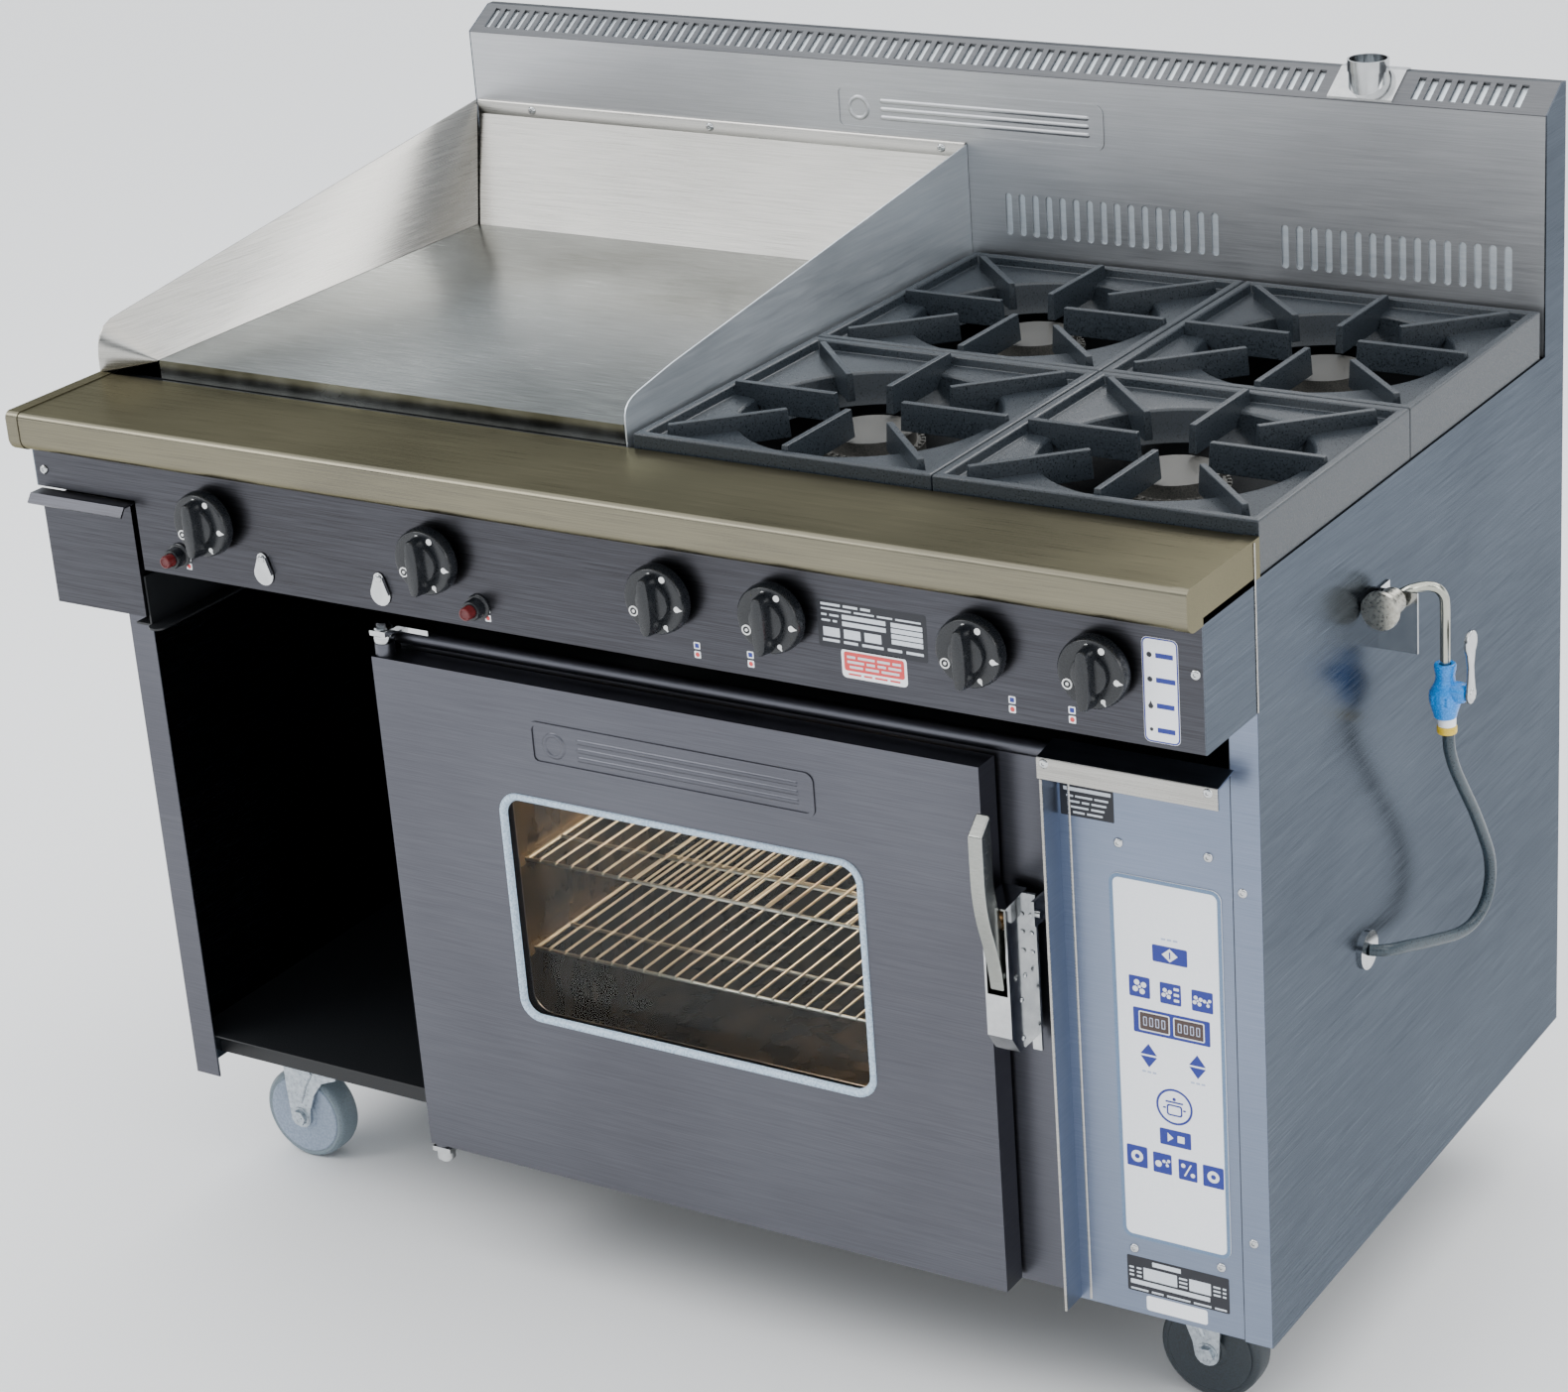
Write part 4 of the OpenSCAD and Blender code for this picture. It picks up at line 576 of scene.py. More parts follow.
def make_knob(name, x):
    """Skirt, waisted grip and pointer hub, with the white marks on the skirt."""
    z = KNOB_Z
    bm = bmesh.new()
    lathe(bm, [(2, -96), (11.5, -96), (12, -99), (28.5, -99), (31, -100.5), (31, -104),
               (30.2, -109.5), (28.8, -111.6), (26.5, -112), (19, -111.4), (15, -111), (2, -111)],
          x, z, "y", 64)
    grip = []
    for k in range(33):
        t = math.tau * k / 32
        grip.append((6.8 * math.copysign(abs(math.cos(t)) ** 0.6, math.cos(t)),
                     27 * math.copysign(abs(math.sin(t)) ** 0.7, math.sin(t))))
    loops = []
    for y, wide, tall in ((-108, 1.25, 1.0), (-114, 1.05, 0.99), (-120, 0.93, 0.97),
                          (-125, 0.9, 0.95), (-126.6, 0.8, 0.93), (-127, 0.6, 0.9)):
        loops.append([(x + wide * a, y, z - 1 + tall * b) for a, b in grip[:-1]])
    loft(bm, loops)
    lathe(bm, [(2, -112), (17, -111.2), (16, -115), (12, -116.5), (2, -117)], x, z, "y", 40)
    piece(name, bm, phenolic, name + "_body", (name,), edge=0.6)
    bm = bmesh.new()
    for kind, degrees, size in KNOB_MARKS:
        t = math.radians(90 + degrees)
        a, b = x + MARK_RADIUS * math.cos(t), z + MARK_RADIUS * math.sin(t)
        outline = circle(a, b, size) if kind == "dot" else drop_outline(a, b, size, t - math.pi / 2)
        prism(bm, outline, SKIRT_FACE - 1, SKIRT_FACE, "y")
    prism_ring(bm, x - 20.5, z - 11, 4.6, 3.4, SKIRT_FACE - 1, SKIRT_FACE + 0.4)
    prism(bm, circle(x - 20.5, z - 11, 1.4), SKIRT_FACE - 1, SKIRT_FACE + 0.4, "y")
    piece(name + "_marks", bm, ink_white, name + "_body")


for number, x in enumerate(KNOB_X, 1):
    make_knob("knob_%d" % number, x)


# ---- igniters
IGNITER_X = (167, 509.5)
IGNITER_Z = 748


def make_igniters():
    bm = bmesh.new()
    for x in IGNITER_X:
        lathe(bm, [(6.4, -84), (9, -84), (9, -92.6), (12, -92.6), (12, -94.4), (11.2, -95.2),
                   (9.4, -95.6), (9.2, -104.6), (8.6, -106), (6.4, -106)],
              x, IGNITER_Z, "y", 36, close=True)
    piece("igniter_sleeves", bm, phenolic, "range", ("igniter_bodies",), edge=0.3)
    for side, x in zip(("left", "right"), IGNITER_X):
        name = "igniter_button_" + side
        bm = bmesh.new()
        lathe(bm, [(1, -92), (6, -92), (6, -113.2), (5.4, -114.6), (4.2, -115), (3.6, -113.8),
                   (1, -113.6)], x, IGNITER_Z, "y", 32)
        piece(name, bm, phenolic_red, name + "_body", (name,), edge=0.2)


make_igniters()


# ---- port covers
PORT_X = (266.5, 400.5)
PORT_Z = 759


def make_port_cover(side, x):
    """Pivoted drop-shaped flap with a folded finger lip."""
    name = "port_cover_" + side
    z = PORT_Z
    bm = bmesh.new()
    prism(bm, arc(x, z, 5.6, 0, 181) + arc(x, z - 15, 11, 170, 371), -94.3, -93.1, "y")
    prism(bm, [(x + 4.6, z + 2), (x + 5.8, z + 2), (x + 11.4, z - 14), (x + 10.2, z - 14)],
          -97.2, -93.6, "y")
    piece(name, bm, steel_bright, name + "_body", (name,), edge=0.3)


for side, x in zip(("left", "right"), PORT_X):
    make_port_cover(side, x)


# ---- screws
SCREWS = [(1087, 0, 587), (1171, 0, 589), (1202, 0, 562), (1204, 0, 227), (1087, 0, 193),
          (1172, 0, 195), (11.7, -92.5, 812), (1212, -92.5, 795), (1036, -30, 663),
          (1188, -30, 663), (76, 621.5, 990), (303, 621.5, 990), (580, 621.5, 990)]


def make_screws():
    bm = bmesh.new()
    for x, y, z in SCREWS:
        lathe(bm, [(1.2, y + 1), (3.2, y + 1), (3.2, y), (4.6, y), (4.6, y - 0.6), (4.0, y - 1.5),
                   (2.8, y - 2.2), (1.6, y - 2.2), (1.2, y - 1.2)], x, z, "y", 24)
    for x in PORT_X:
        lathe(bm, [(0.4, -92), (2, -92), (2, -94.4), (3.6, -94.6), (3.4, -95.6), (2.2, -96.4),
                   (0.4, -96.6)], x, PORT_Z, "y", 20)
    piece("dome_screws", bm, steel_bright, "range", ("screws",))


make_screws()


# ---- oven racks
RACK_WIRES = 27


def make_rack(name):
    """Welded wire rack in the box of its CAD node."""
    low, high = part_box(name)
    x0, x1 = (low.x - LEFT) / MM, (high.x - LEFT) / MM
    y0, y1 = (low.y - FRONT) / MM, (high.y - FRONT) / MM
    z = low.z / MM
    bm = bmesh.new()
    for y in (y0 + 2, y0 + 58, (y0 + y1) / 2, y1 - 58, y1 - 2):
        tube(bm, [(x0, y, z + 2), (x1, y, z + 2)], 1.9, 10)
    for x in (x0 + 2, x1 - 2):
        tube(bm, [(x, y0, z + 2), (x, y1, z + 2)], 1.9, 10)
    for i in range(1, RACK_WIRES + 1):
        x = x0 + i * (x1 - x0) / (RACK_WIRES + 1)
        tube(bm, [(x, y0, z + 2.2), (x, y0 + 1, z + 4.4), (x, y0 + 4, z + 4.6), (x, y1 - 4, z + 4.6),
                  (x, y1 - 1, z + 4.4), (x, y1, z + 2.2)], 1.3, 8)
    piece(name, bm, steel_wire, name + "_body", (name,))


make_rack("oven_rack_lower")
make_rack("oven_rack_upper")


# ---- door window gasket, badges
def make_gasket():
    bm = bmesh.new()
    loops = []
    for inset, y in ((0, -31.4), (0.4, -33), (1.6, -34.2), (3.5, -34.6), (5.6, -33.6), (7, -31.5),
                     (7.6, -29.6), (0.2, -30)):
        outline = rounded(458 + inset, 850 - inset, 301 + inset, 537 - inset, 22 - inset * 0.8, 8)
        loops.append([(a, y, b) for a, b in outline])
    loft(bm, loops, close=True)
    piece("window_gasket", bm, silicone_blue, "door", ("window_gasket",))


make_gasket()


def pad_relief(bm, x0, x1, z0, z1, face, rise, r):
    """Pressed raised pad with sloping sides."""
    loops = [[(a, face + 0.3, b) for a, b in rounded(x0, x1, z0, z1, r)],
             [(a, face, b) for a, b in rounded(x0, x1, z0, z1, r)],
             [(a, face - rise * 0.8, b) for a, b in rounded(x0 + 1, x1 - 1, z0 + 1, z1 - 1, r - 1)],
             [(a, face - rise, b) for a, b in rounded(x0 + 2, x1 - 2, z0 + 2, z1 - 2, r - 2)]]
    loft(bm, loops)


def make_badges():
    """Plain pressed ornament: a round boss and a row of bars inside each raised frame."""
    for name, material, body, face, box in (
            ("door_ornament", steel_front, "door", -31.5, (501, 806, 571, 614)),
            ("splash_ornament", steel_light, "range", 625, (457, 763, 1000, 1046))):
        bm = bmesh.new()
        x0, x1, z0, z1 = box
        mid = (z0 + z1) / 2
        lathe(bm, [(13, face + 0.3), (13, face), (12, face - 0.9), (10.5, face - 1.2),
                   (9.5, face - 0.9), (8.5, face - 0.2), (0.5, face - 0.2)], x0 + 27, mid, "y", 28)
        for k in range(3):
            z = mid - 11 + 8.5 * k
            pad_relief(bm, x0 + 52, x1 - 16, z, z + 5, face, 1.1, 2.4)
        piece(name, bm, material, body)


make_badges()


# ---- griddle guards
def make_guards():
    """Left guard flared down to the plate, rear guard with its flat band, divider at the hob."""
    bm = bmesh.new()
    across = 10        # steps over the flare of the left guard
    stations = [((59.5, 27.4 + 0.12 * k, 888.2), top) for k, top in enumerate(
        ((10, 877), (10.4, 890), (12, 901), (15.5, 910.5), (22, 917.5)))]
    for k in range(25):
        t = k / 24
        stations.append(((59.5, 28 + 503 * t, 888.2), (33 + 590.5 * t, 922 + 74 * t)))
    drop = Vector((1.0, 0, 1.3))
    loops = []
    for low, (y, z) in stations:
        low, high = Vector(low), Vector((2.4, y, z - 0.8))
        loop = [low.lerp(high, j / across) for j in range(across + 1)]
        loop += [Vector(p) for p in ((1.6, y, z), (0.6, y, z), (0, y, z - 0.8), (0, y, 842),
                                     (1.2, y, 842))]
        loop += [high.lerp(low, j / across) - drop for j in range(across + 1)]
        loops.append(loop)
    loft(bm, loops)
    profile = [(531.4, 888), (621.4, 982), (621.4, 995.6), (622.4, 997), (624.8, 997), (624.8, 995.4),
               (623, 994.6), (623, 981.4), (532.8, 887.2)]
    loft(bm, [[(62 - 57 * min(max((z - 888) / 94, 0), 1), y, z) for y, z in profile],
              [(606.8, y, z) for y, z in profile]])
    piece("griddle_guards", bm, steel_guard, "range", ("griddle_guards",), edge=0.4,
          angle=40)

    bm = bmesh.new()
    prism(bm, [(13, 868), (13, 896), (13.6, 903), (16, 908.5), (20.5, 913), (27, 916.2), (36, 918.6),
               (90, 928), (624.5, 995), (624.5, 880), (600, 868)], 606.9, 608.4, "x")
    # painted light: the divider takes the near-white lining colour
    piece("griddle_divider", bm, steel_lining, "range", edge=0.4)


make_guards()


# ---- bright linings behind the slots
def make_linings():
    """Inner sheets that show through the vent slots and the splashback slots, near-white as painted
    light so that the slots read bright.
    """
    bm = bmesh.new()
    prism(bm, [(627.5, 1068.6), (661.5, 1088.8), (668, 1088.8), (668, 1087.8), (662, 1087.8),
               (627.5, 1067.4)], 3, 1217, "x")
    for x0, x1, z0 in ((640, 892, 898), (942, 1196, 893)):
        prism(bm, rounded(x0, x1, z0, z0 + 60, 6), 627, 628, "y")
    piece("duct_linings", bm, steel_lining, "range")


make_linings()


# ---- painted highlights on folds and hems
def make_highlight_skins():
    """Thin skins over folded edges, the hood's lip and the flange faces: painted highlights and painted
    light beside the darker sheets.
    """
    bm = bmesh.new()
    # each strip here is a painted highlight: the hood's lip, the fin's edge, the channel line and the
    # panel's end
    prism(bm, [(-30.9, 648.6), (-30.9, 667.4), (-30.2, 668.4), (-30, 668), (-30, 648.6)],
          1029, 1197, "x")
    block(bm, 1029.6, 1031.9, -28.5, -27, 129, 647)
    prism(bm, [(1040, 0), (1040.3, -0.9), (1041.6, -0.9), (1042.4, 0)], 129, 647, "z")
    block(bm, 1220, 1220.8, -1.4, 0.6, 727.5, 874)
    piece("painted_highlight_hems", bm, steel_guard, "range", edge=0.2)
    bm = bmesh.new()
    # painted light: a lighter skin over the right panel's front flange
    block(bm, 1193.6, 1219.6, -0.4, 0.2, 125.4, 726)
    piece("flange_painted_light_right", bm, steel_cover, "range", edge=0.15)
    bm = bmesh.new()
    # painted light: a lighter skin over the left panel's front flange
    block(bm, 0.4, 29.6, -0.4, 0.2, 125.4, 667)
    piece("flange_painted_light_left", bm, steel_front, "range", edge=0.15)


make_highlight_skins()


# ---- castors
# swivel axis, and the side to which the wheel trails
CASTORS = {"fl": (106, 91.5, -1), "fr": (1078, 91.5, 1), "rl": (106, 582, 1), "rr": (1078, 582, -1)}
TRAIL = 40
AXLE_Z = 50


def make_castor_wheel(tag, wx, y, tread, disc, slot):
    """Tread with a dished disc on each side."""
    name = "castor_wheel_" + tag
    half = [(5.4, 13), (38, 12.4), (41, 13.6), (46, 14.6), (48.4, 13), (49.6, 10), (50, 6)]
    bm = bmesh.new()
    lathe(bm, [(r, y - h) for r, h in half] + [(r, y + h) for r, h in half[::-1]],
          wx, AXLE_Z, "y", 64, True)
    piece(name, bm, tread, name + "_body", (name,))

    half = [(5.4, 16), (13.5, 16), (15, 15.4), (16.5, 13.8), (28, 13.5), (38, 14.8), (41.6, 15.2),
            (42.6, 14.4), (42.6, 13.2), (5.4, 12.5)]
    bm = bmesh.new()
    for side in (-1, 1):
        lathe(bm, [(r, y + side * h) for r, h in half], wx, AXLE_Z, "y", 64, True)
    piece("castor_disc_" + tag, bm, disc, name + "_body", edge=0.3)


def make_castor_fork(tag, x, y, wx, s):
    """Pressed fork; s points from the wheel's axle back to the swivel axis."""
    name = "castor_fork_" + tag
    bm = bmesh.new()
    outline = [(-15, 113), (-14.5, 84), (-13, 58)] + arc(0, AXLE_Z, 12.5, 180, 361)
    outline += [(14, 60), (22, 80), (34, 96), (TRAIL + 14, 104), (TRAIL + 14, 113)]
    outline = [(wx + a * s, b) for a, b in outline]
    for side in (-1, 1):
        prism(bm, outline, y + side * 17.5, y + side * 20.5, "y")
        prism(bm, circle(wx, AXLE_Z, 11, 28), y + side * 20.4, y + side * 21.4, "y")
        prism(bm, circle(wx, AXLE_Z, 8.6, 6), y + side * 21.3, y + side * 25.2, "y")
        lathe(bm, [(0.5, y + side * 25), (4.6, y + side * 25), (4.2, y + side * 25.5),
                   (0.5, y + side * 25.5)], wx, AXLE_Z, "y", 20)
        tube(bm, [(wx + 3 * s, y + side * 20, 68), (wx + 12 * s, y + side * 20, 90),
                  (wx + 22 * s, y + side * 20, 106)], 2.4, 10)
    lathe(bm, [(0.5, y - 21), (5, y - 21), (5, y + 21), (0.5, y + 21)], wx, AXLE_Z, "y", 20)
    ends = sorted((wx - 14 * s, x + 14 * s))
    block(bm, *ends, y - 20.5, y + 20.5, 108.4, 112.4)
    lathe(bm, [(2, 110), (29, 110), (30, 111.5), (30, 114), (27, 115.6), (2, 115.6)], x, y, "z", 48)
    piece(name, bm, zinc_plate, name + "_body", (name,), edge=0.7)


for tag, (x, y, trail) in CASTORS.items():
    look = (rubber_grey, moulded_grey, "wheel_grey") if tag[1] == "l" \
        else (rubber_black, rubber_black, "wheel_black")
    make_castor_wheel(tag, x + TRAIL * trail, y, *look)
    make_castor_fork(tag, x, y, x + TRAIL * trail, -trail)


# ---- door latch
def make_lever():
    outer = [(-51, 451), (-54, 470), (-60, 494), (-69, 522), (-74, 548), (-75, 575), (-75, 606)]
    inner = [(-58, 621), (-57.2, 590), (-57, 560), (-54, 540), (-46, 510), (-40, 490),
             (-33, 476), (-32, 452)]
    outline = [(p.x, p.y) for p in smooth_route(outer, 4) + smooth_route(inner, 4)]
    bm = bmesh.new()
    prism(bm, outline, 984.2, 997.8, "x")
    piece("door_handle", bm, steel_lever, "handle", ("door_handle",), edge=1.8,
          segments=4, angle=28)

    bm = bmesh.new()
    lathe(bm, [(0.5, 981.4), (2.6, 981.4), (3, 982), (3, 1000), (2.6, 1000.6), (0.5, 1000.6)],
          -38, 460, "x", 24)
    piece("handle_pin", bm, steel_bright, "handle")


def make_latch_details():
    bm = bmesh.new()
    lathe(bm, [(0.5, 981.2), (7.4, 981.2), (8.2, 982.2), (8.2, 999.8), (7.4, 1000.8), (0.5, 1000.8)],
          -36, 512, "x", 36)
    piece("latch_roller", bm, bronze_roller, "door")
    bm = bmesh.new()
    for z in (510, 493, 475):
        lathe(bm, [(0.3, -14.8), (2.4, -14.8), (2.4, -15.4), (1.8, -16.4), (0.3, -16.8)],
              1007.5, z, "y", 18)
    for y, z in ((-30, 435), (-30, 398), (-22, 455)):
        lathe(bm, [(0.3, 1002.8), (2.6, 1002.8), (2.6, 1003.4), (1.8, 1004.4), (0.3, 1004.8)],
              y, z, "x", 18)
    piece("latch_screws", bm, steel_bright, "door")


make_lever()
make_latch_details()


# ---- hinge finial
def make_finial():
    bm = bmesh.new()
    lathe(bm, [(0.5, 673.8), (8.8, 673.8), (9.3, 675.2), (8.6, 676.8), (6.4, 677.6), (7, 679.2),
               (5.8, 681), (2.6, 682), (0.5, 682)], 335, -20, "z", 36)
    lathe(bm, [(6.2, 661.6), (9.2, 661.6), (9.8, 663.4), (9.8, 666.6), (9.2, 668.6), (6.2, 668.6)],
          335, -20, "z", 36, True)
    piece("hinge_finial", bm, steel_bright, "range")


make_finial()


# ---- torch
TORCH_X, TORCH_Y = 1265, 279
COCK_Z = 646


def make_torch():
    bm = bmesh.new()
    lathe(bm, [(0.5, 200), (15.5, 200), (17.1, 200.8), (17.5, 202), (17.5, 205), (16.6, 206.2),
               (12.6, 206.6), (12, 207.4), (12, 213), (11, 214), (11, 216), (12, 217), (12, 230.4),
               (10.8, 232), (5.4, 232.6), (0.5, 232.6)], 1238, 744, "y", 44)
    piece("torch_head", bm, nickel, "range")

    bm = bmesh.new()
    path = smooth_route([(1238, 228, 744), (1238, 246, 744), (1241, 259, 744), (1250, 269, 744.5),
                         (1259, 275, 742), (1264, 278.5, 734), (1265, 279, 722), (1265, 279, 700),
                         (1265, 279, 668)], 5)
    tube(bm, path, 4.5, 16)
    piece("torch_tube", bm, steel_tube, "range")

    bm = bmesh.new()
    lathe(bm, [(5.2, 665), (5.2, 671.5), (8.6, 672), (10, 670.4), (9.6, 666), (8.5, 661), (8.8, 656),
               (11, 650.5), (13.6, 646), (14.4, 642), (14.2, 637), (12.4, 630), (10.6, 624.6),
               (10, 621), (5.2, 621)], TORCH_X, TORCH_Y, "z", 40, True)
    prism(bm, circle(TORCH_X, TORCH_Y, 15.4, 6), 635.5, 644.5, "z")
    lathe(bm, [(0.5, 1262), (9.6, 1262), (9.6, 1280), (8.6, 1283.4), (6.4, 1285.8), (0.5, 1286.1)],
          TORCH_Y, COCK_Z, "x", 32)
    piece("torch_cock", bm, coat_blue, "range", ("torch",), edge=1.2, segments=3)

    bm = bmesh.new()
    lathe(bm, [(0.5, 621.6), (7.8, 621.6), (8.3, 620), (8, 612.4), (0.5, 612.4)],
          1266.5, TORCH_Y, "z", 28)
    piece("torch_ferrule", bm, film_white, "range", edge=0.3)

    bm = bmesh.new()
    lathe(bm, [(5.7, 613.4), (8.4, 613.4), (9, 612.4), (9, 607.4), (8.4, 606.2), (5.7, 606.2)],
          1266.5, TORCH_Y, "z", 28, True)
    piece("torch_ring", bm, nylon_yellow, "range", edge=0.3)


def make_torch_lever():
    outline = arc(TORCH_Y, COCK_Z, 8.6, 150, 391) + [(TORCH_Y + 5.4, 662), (TORCH_Y + 4.4, 672)]
    outline += arc(TORCH_Y, 694, 11.8, -50, 231) + [(TORCH_Y - 4.4, 672), (TORCH_Y - 5.4, 662)]
    bm = bmesh.new()
    prism(bm, outline, 1286.6, 1290.6, "x")
    lathe(bm, [(0.5, 1287), (6.6, 1287), (6.6, 1291), (5, 1291.9), (0.5, 1292)],
          TORCH_Y, COCK_Z, "x", 24)
    piece("torch_lever", bm, steel_bright, "torch_lever_body", ("torch_lever",),
          edge=1.5, segments=4, angle=30)


make_torch()
make_torch_lever()


# ---- touch pad
PAD_FACE = -1.2
FILM = 0.09            # thickness of one printed or glued layer
SUNK = 0.05            # how far it starts under the face


def stick(bm, outline, layer, face=PAD_FACE):
    """A printed or glued shape; each layer stands over the one before."""
    prism(bm, outline, face + SUNK, face - FILM * (layer + 1), "y")


def box_outline(x, z, wide, tall, r=1.2):
    return rounded(x - wide / 2, x + wide / 2, z - tall / 2, z + tall / 2, r, 3)


def ring(bm, outline, inner, layer, face=PAD_FACE):
    """The same for a line between two outlines."""
    low, high = face + SUNK, face - FILM * (layer + 1)
    loft(bm, [[(a, y, b) for a, b in loop]
              for loop, y in ((outline, low), (outline, high), (inner, high), (inner, low))], close=True)


def fan(bm, x, z, r, blades=4):
    """Small fan symbol: round blades about a hub."""
    for k in range(blades):
        t = math.tau * (k + 0.35) / blades
        stick(bm, circle(x + 0.62 * r * math.cos(t), z + 0.62 * r * math.sin(t), 0.36 * r, 10), 1)
    stick(bm, circle(x, z, 0.2 * r, 8), 1)


BLUE_KEYS = [(1132.5, 490.5, 33, 16), (1102.5, 455, 20, 20), (1132, 454, 20, 20), (1162, 453, 20, 20),
             (1132, 423, 73, 24), (1132, 314, 30, 16), (1094, 288, 20, 21), (1118.5, 286.5, 18, 20),
             (1143, 285, 18, 20), (1167.5, 284.5, 20, 21)]
ARROWS = [(1109, 390), (1155.5, 389)]
WINDOWS = [(1115.5, 423), (1148.5, 423)]


def make_pad():
    bm = bmesh.new()
    ring(bm, rounded(1077, 1182, 205, 559, 9, 6), rounded(1080.5, 1178.5, 208.5, 555.5, 6, 6), 1)
    piece("pad_border", bm, pad_edge, "range")

    bm = bmesh.new()
    for x, z, wide, tall in BLUE_KEYS:
        stick(bm, box_outline(x, z, wide, tall), 0)
    for x, z in ARROWS:
        stick(bm, [(x - 8, z + 0.9), (x + 8, z + 0.9), (x, z + 11.5)], 0)
        stick(bm, [(x - 8, z - 0.9), (x, z - 11.5), (x + 8, z - 0.9)], 0)
    ring(bm, circle(1132, 345, 17.5, 40), circle(1132, 345, 15.4, 40), 0)
    ring(bm, rounded(1124.5, 1139.5, 336, 347, 2.5, 4), rounded(1126, 1138, 337.5, 345.5, 1.6, 4), 0)
    stick(bm, box_outline(1132, 349.4, 17, 1.6, 0.7), 0)
    stick(bm, circle(1132, 352.4, 1.7, 12), 0)
    for side in (-1, 1):
        stick(bm, box_outline(1132 + side * 9.6, 343, 3, 1.6, 0.7), 0)
    stick(bm, box_outline(1132.5, 490.5, 1.3, 6.6, 0.4), 2)
    piece("pad_blue_print", bm, ink_blue, "range")

    bm = bmesh.new()
    stick(bm, [(1125, 490.5), (1132.5, 484.2), (1140, 490.5), (1132.5, 496.8)], 1)
    fan(bm, 1102.5, 455, 7.6)
    fan(bm, 1128.5, 454, 5.6)
    for k in range(3):
        stick(bm, box_outline(1137.6, 448.6 + 5.4 * k, 5, 2.6, 0.6), 1)
    fan(bm, 1157.6, 453, 5.4)
    fan(bm, 1166.8, 453, 4.6, 3)
    for x, z in WINDOWS:
        ring(bm, box_outline(x, z, 29.5, 18.5, 1.5), box_outline(x, z, 27.4, 16.4, 1), 1)
    stick(bm, [(1124.5, 309.6), (1124.5, 318.4), (1130, 314)], 1)
    stick(bm, box_outline(1137.4, 314, 6.6, 6.6, 0.5), 1)
    for x, z in ((1094, 288), (1167.5, 284.5)):
        ring(bm, circle(x, z, 5.8, 24), circle(x, z, 2.4, 24), 1)
    stick(bm, circle(1114.6, 285.5, 3.2, 14), 1)
    fan(bm, 1122.6, 288, 4.4, 3)
    stick(bm, [(1139, 279), (1140.6, 279), (1147, 291), (1145.4, 291)], 1)
    stick(bm, circle(1138.6, 289, 2.1, 14), 1)
    stick(bm, circle(1147.6, 281, 2.1, 14), 1)
    piece("pad_white_print", bm, ink_white, "range")

    bm = bmesh.new()
    for x, z in WINDOWS:
        stick(bm, box_outline(x, z, 27, 16, 0.8), 1)
    piece("pad_displays", bm, display_brown, "range")

    bm = bmesh.new()
    for x, z, wide in ((1132.5, 505, 17), (1109, 374, 15), (1155.5, 373, 15)):
        for k in (-1, 0, 1):
            stick(bm, box_outline(x + k * wide / 3, z, wide / 3 - 1.4, 1.8, 0.5), 0)
    for x, z in WINDOWS:
        for k in range(4):
            digit = x - 8.7 + 5.8 * k
            ring(bm, box_outline(digit, z, 3.6, 8.6, 0.6), box_outline(digit, z, 2, 7, 0.4), 1.6)
    piece("pad_faint_print", bm, ink_faint, "range")


make_pad()


# ---- labels
PANEL_FACE, COVER_FACE = -92.5, 0.0
MARK_X = (176, 518, 739, 793, 1045, 1100)


def rows(bm, x0, x1, z, pattern, tall, layer, face):
    """A row of short bars where a maker would print words; pattern gives the bars' lengths."""
    gap = 0.6
    scale = (x1 - x0) / (sum(pattern) + gap * (len(pattern) - 1))
    x = x0
    for length in pattern:
        wide = length * scale
        stick(bm, box_outline(x + wide / 2, z, wide, tall, min(0.4, tall / 3)), layer, face)
        x += wide + gap * scale


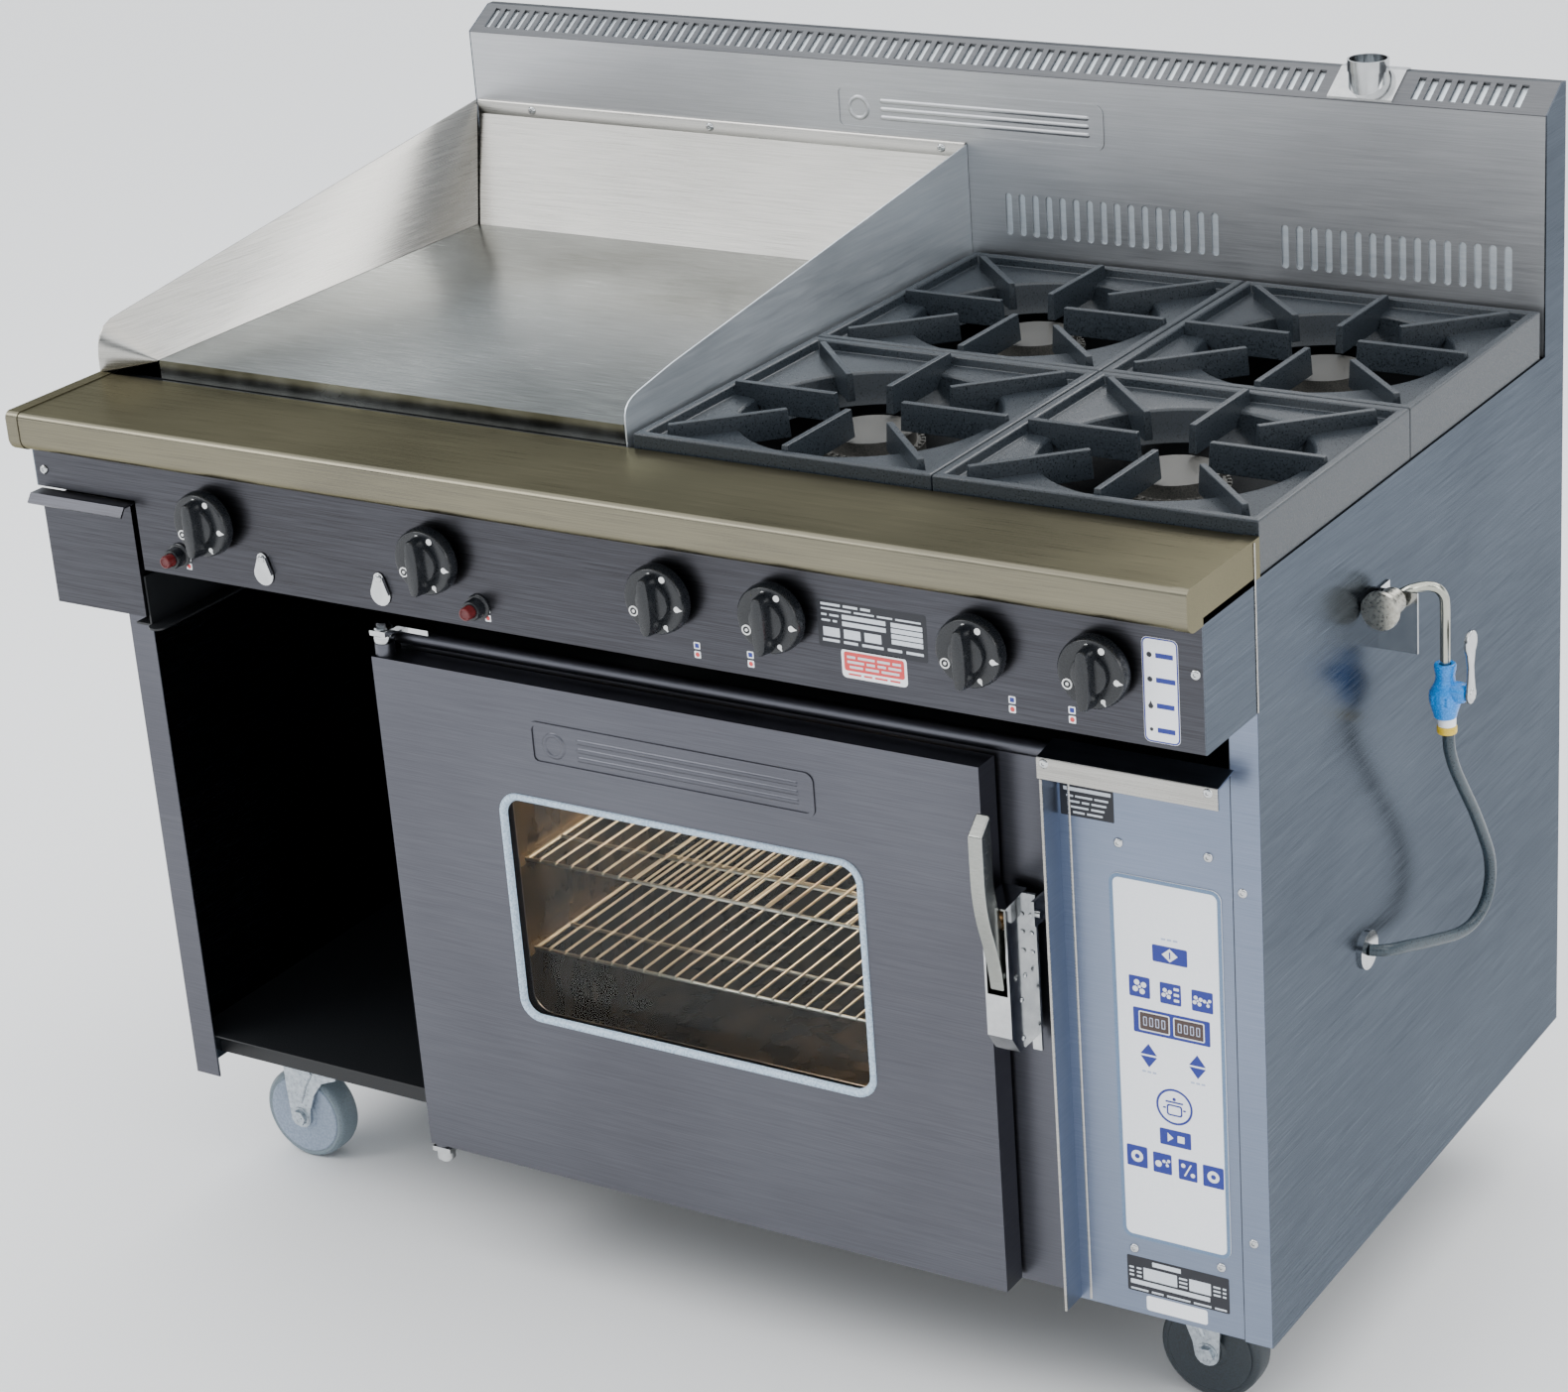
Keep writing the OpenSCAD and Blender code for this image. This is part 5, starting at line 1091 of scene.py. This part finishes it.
def make_labels():
    bm = bmesh.new()
    for x in MARK_X:
        stick(bm, box_outline(x, 746.4, 6.4, 6.4, 0.8), 0, PANEL_FACE)
        stick(bm, box_outline(x, 738.2, 6.4, 6.4, 0.8), 0, PANEL_FACE)
    stick(bm, box_outline(915.5, 754, 63, 26, 4), 0, PANEL_FACE)
    stick(bm, box_outline(1181, 776, 32, 90, 5), 0, PANEL_FACE)
    stick(bm, box_outline(1127, 139.5, 60, 15, 2.4), 0, COVER_FACE)
    piece("label_white", bm, film_white, "range")

    bm = bmesh.new()
    for x in MARK_X:
        stick(bm, circle(x, 738.2, 2.1, 16), 1, PANEL_FACE)
    stick(bm, rounded(886.5, 944.5, 747.5, 764.5, 2.5, 4), 1, PANEL_FACE)
    rows(bm, 890, 940, 744.6, (3, 2, 3, 2.4), 1.6, 1, PANEL_FACE)
    piece("label_red", bm, ink_red, "range")

    bm = bmesh.new()
    for x0, x1, z, pattern, tall, layer in (
            (889.5, 941.5, 760, (2, 4, 3, 2), 2.2, 2), (889.5, 941.5, 755.6, (4, 2, 2, 3), 2.2, 2),
            (891.5, 939.5, 751.2, (3, 3, 4), 2.2, 2), (867, 915, 804.4, (4, 3, 2), 2.2, 1),
            (867, 963, 800.2, (6, 4, 3, 5), 1.6, 1), (867, 884, 795, (1.2, 2), 1.8, 1),
            (867, 882, 790, (2, 1), 1.8, 1), (867, 964, 772.4, (2.4, 2, 3, 2, 2.4), 2.4, 1)):
        rows(bm, x0, x1, z, pattern, tall, layer, PANEL_FACE)
    for x0, x1, levels in ((887, 929, (795, 789)), (934, 964, (795, 790, 785, 780))):
        for z in levels:
            stick(bm, rounded(x0, x1, z - 2, z + 2, 0.4, 2), 1, PANEL_FACE)
    for x in (868, 888, 908):
        stick(bm, rounded(x, x + 16, 776, 784, 0.4, 2), 1, PANEL_FACE)
    rows(bm, 1036.5, 1081.5, 629, (8,), 3.4, 1, COVER_FACE)
    for z, pattern in ((622.6, (2, 5, 4)), (617.6, (3, 2, 4)), (612.6, (4, 3)), (607.8, (3, 4))):
        inset = 0.4 * (622.6 - z)
        rows(bm, 1039 + inset, 1079 - inset, z, pattern, 1.9, 1, COVER_FACE)
    for x0, x1, z0, z1 in ((1095, 1128, 163, 175), (1140, 1161, 163, 175), (1082, 1160, 156.5, 161),
                           (1104, 1132, 178, 182.5)):
        stick(bm, rounded(x0, x1, z0, z1, 0.5, 2), 1, COVER_FACE)
    for z in (165, 169, 173):
        rows(bm, 1081, 1093, z, (1, 1), 1.8, 1, COVER_FACE)
        rows(bm, 1130, 1138, z, (1,), 1.8, 1, COVER_FACE)
        rows(bm, 1163.5, 1176, z, (2, 1), 1.8, 1, COVER_FACE)
    rows(bm, 1082, 1176, 151.6, (3, 2, 4, 3, 2), 1.8, 1, COVER_FACE)
    piece("label_silver_print", bm, ink_silver, "range")

    bm = bmesh.new()
    stick(bm, box_outline(915.5, 787, 105, 42, 2), 0, PANEL_FACE)
    stick(bm, box_outline(1058.5, 619, 51, 30, 1), 0, COVER_FACE)
    stick(bm, box_outline(1129, 167, 100, 36, 1.5), 0, COVER_FACE)
    piece("label_black", bm, ink_black, "range")

    bm = bmesh.new()
    ring(bm, box_outline(1181, 776, 31.4, 89.4, 5), box_outline(1181, 776, 29, 87, 4), 1, PANEL_FACE)
    for z, x1 in ((806, 1192.5), (785, 1194), (763, 1192.5), (742, 1192.5)):
        rows(bm, 1177, x1, z, (3,), 4.2, 1, PANEL_FACE)
    for x in MARK_X:
        stick(bm, box_outline(x, 746.4, 4, 4, 0.5), 1, PANEL_FACE)
    piece("label_blue_print", bm, ink_blue, "range")

    bm = bmesh.new()
    for z, r in ((806, 2.3), (785, 2.3), (742, 1.6)):
        stick(bm, circle(1171.5, z, r, 16), 1, PANEL_FACE)
    stick(bm, drop_outline(1171.5, 762, 2.2, 0), 1, PANEL_FACE)
    piece("legend_symbols", bm, ink_black, "range")


make_labels()


# ---- folded edges of the sheet parts
SOFT_EDGES = {"side_panel_left": 0.6, "side_panel_right": 0.6, "control_panel": 0.5,
              "front_rail": 1.0, "grease_drawer": 0.6, "door_panel": 0.7, "control_cover": 0.6,
              "door_hardware": 0.8,
              "latch_case": 0.9, "side_fittings": 0.8, "castor_plates": 0.6, "griddle_plate": 1.2,
              "flue_spigot": 0.5, "oven_front_frame": 0.5, "base_frame": 0.9}


def soften_sheets():
    for name, edge in SOFT_EDGES.items():
        node = frame["nodes"][name]
        for polygon in node.data.polygons:
            polygon.use_smooth = True
        soften(node, edge, 2, 40)


soften_sheets()


# ---- floor, light
def make_stage():
    mesh = bpy.data.meshes.new("floor")
    size = 14          # metres from the middle to each edge
    mesh.from_pydata([(-size, -size, 0), (size, -size, 0), (size, size, 0), (-size, size, 0)], [],
                     [(0, 1, 2, 3)])
    floor = bpy.data.objects.new("floor", mesh)
    bpy.context.scene.collection.objects.link(floor)
    mesh.materials.append(new_material("pale_floor", Roughness=0.8, Base_Color=linear("f6f6f6"))[0])
    world = bpy.data.worlds.new("studio")
    bpy.context.scene.world = world
    world.use_nodes = True
    tree = world.node_tree
    coords = add_node(tree, "ShaderNodeTexCoord")
    height = add_node(tree, "ShaderNodeSeparateXYZ", Vector=coords.outputs["Generated"])
    # a darker band above the horizon: metal needs something dark to mirror
    sky = colour_ramp(tree, height.outputs["Z"], [
        (0.0, linear("f4f6f8")), (0.17, linear("e4e8ec")), (0.3, linear("61666b")),
        (0.5, linear("6b7075")), (0.66, linear("e8edf2")), (1.0, linear("ffffff"))])
    background = tree.nodes["Background"]
    background.inputs["Strength"].default_value = 2.4
    tree.links.new(sky.outputs["Color"], background.inputs["Color"])


def area_light(name, place, aim, size, power, colour="ffffff"):
    data = bpy.data.lights.new(name, "AREA")
    data.shape = "RECTANGLE"
    data.size, data.size_y = size
    data.energy = power
    data.color = linear(colour)[:3]
    obj = bpy.data.objects.new(name, data)
    bpy.context.scene.collection.objects.link(obj)
    obj.location = place
    obj.rotation_euler = (Vector(aim) - Vector(place)).to_track_quat("-Z", "Y").to_euler()


make_stage()
area_light("key_light", (-2.6, -2.2, 3.2), (0, 0, 0.7), (2.2, 1.6), 60)
area_light("side_light", (3.4, -0.6, 2.2), (0, 0, 0.6), (1.6, 1.6), 30)
area_light("back_light", (0.4, 2.6, 2.8), (0, 0, 0.9), (3.0, 1.0), 40)
area_light("oven_lamp", at(650, 500, 610), at(650, 250, 350), (0.4, 0.1), 6, "ffdfb4")
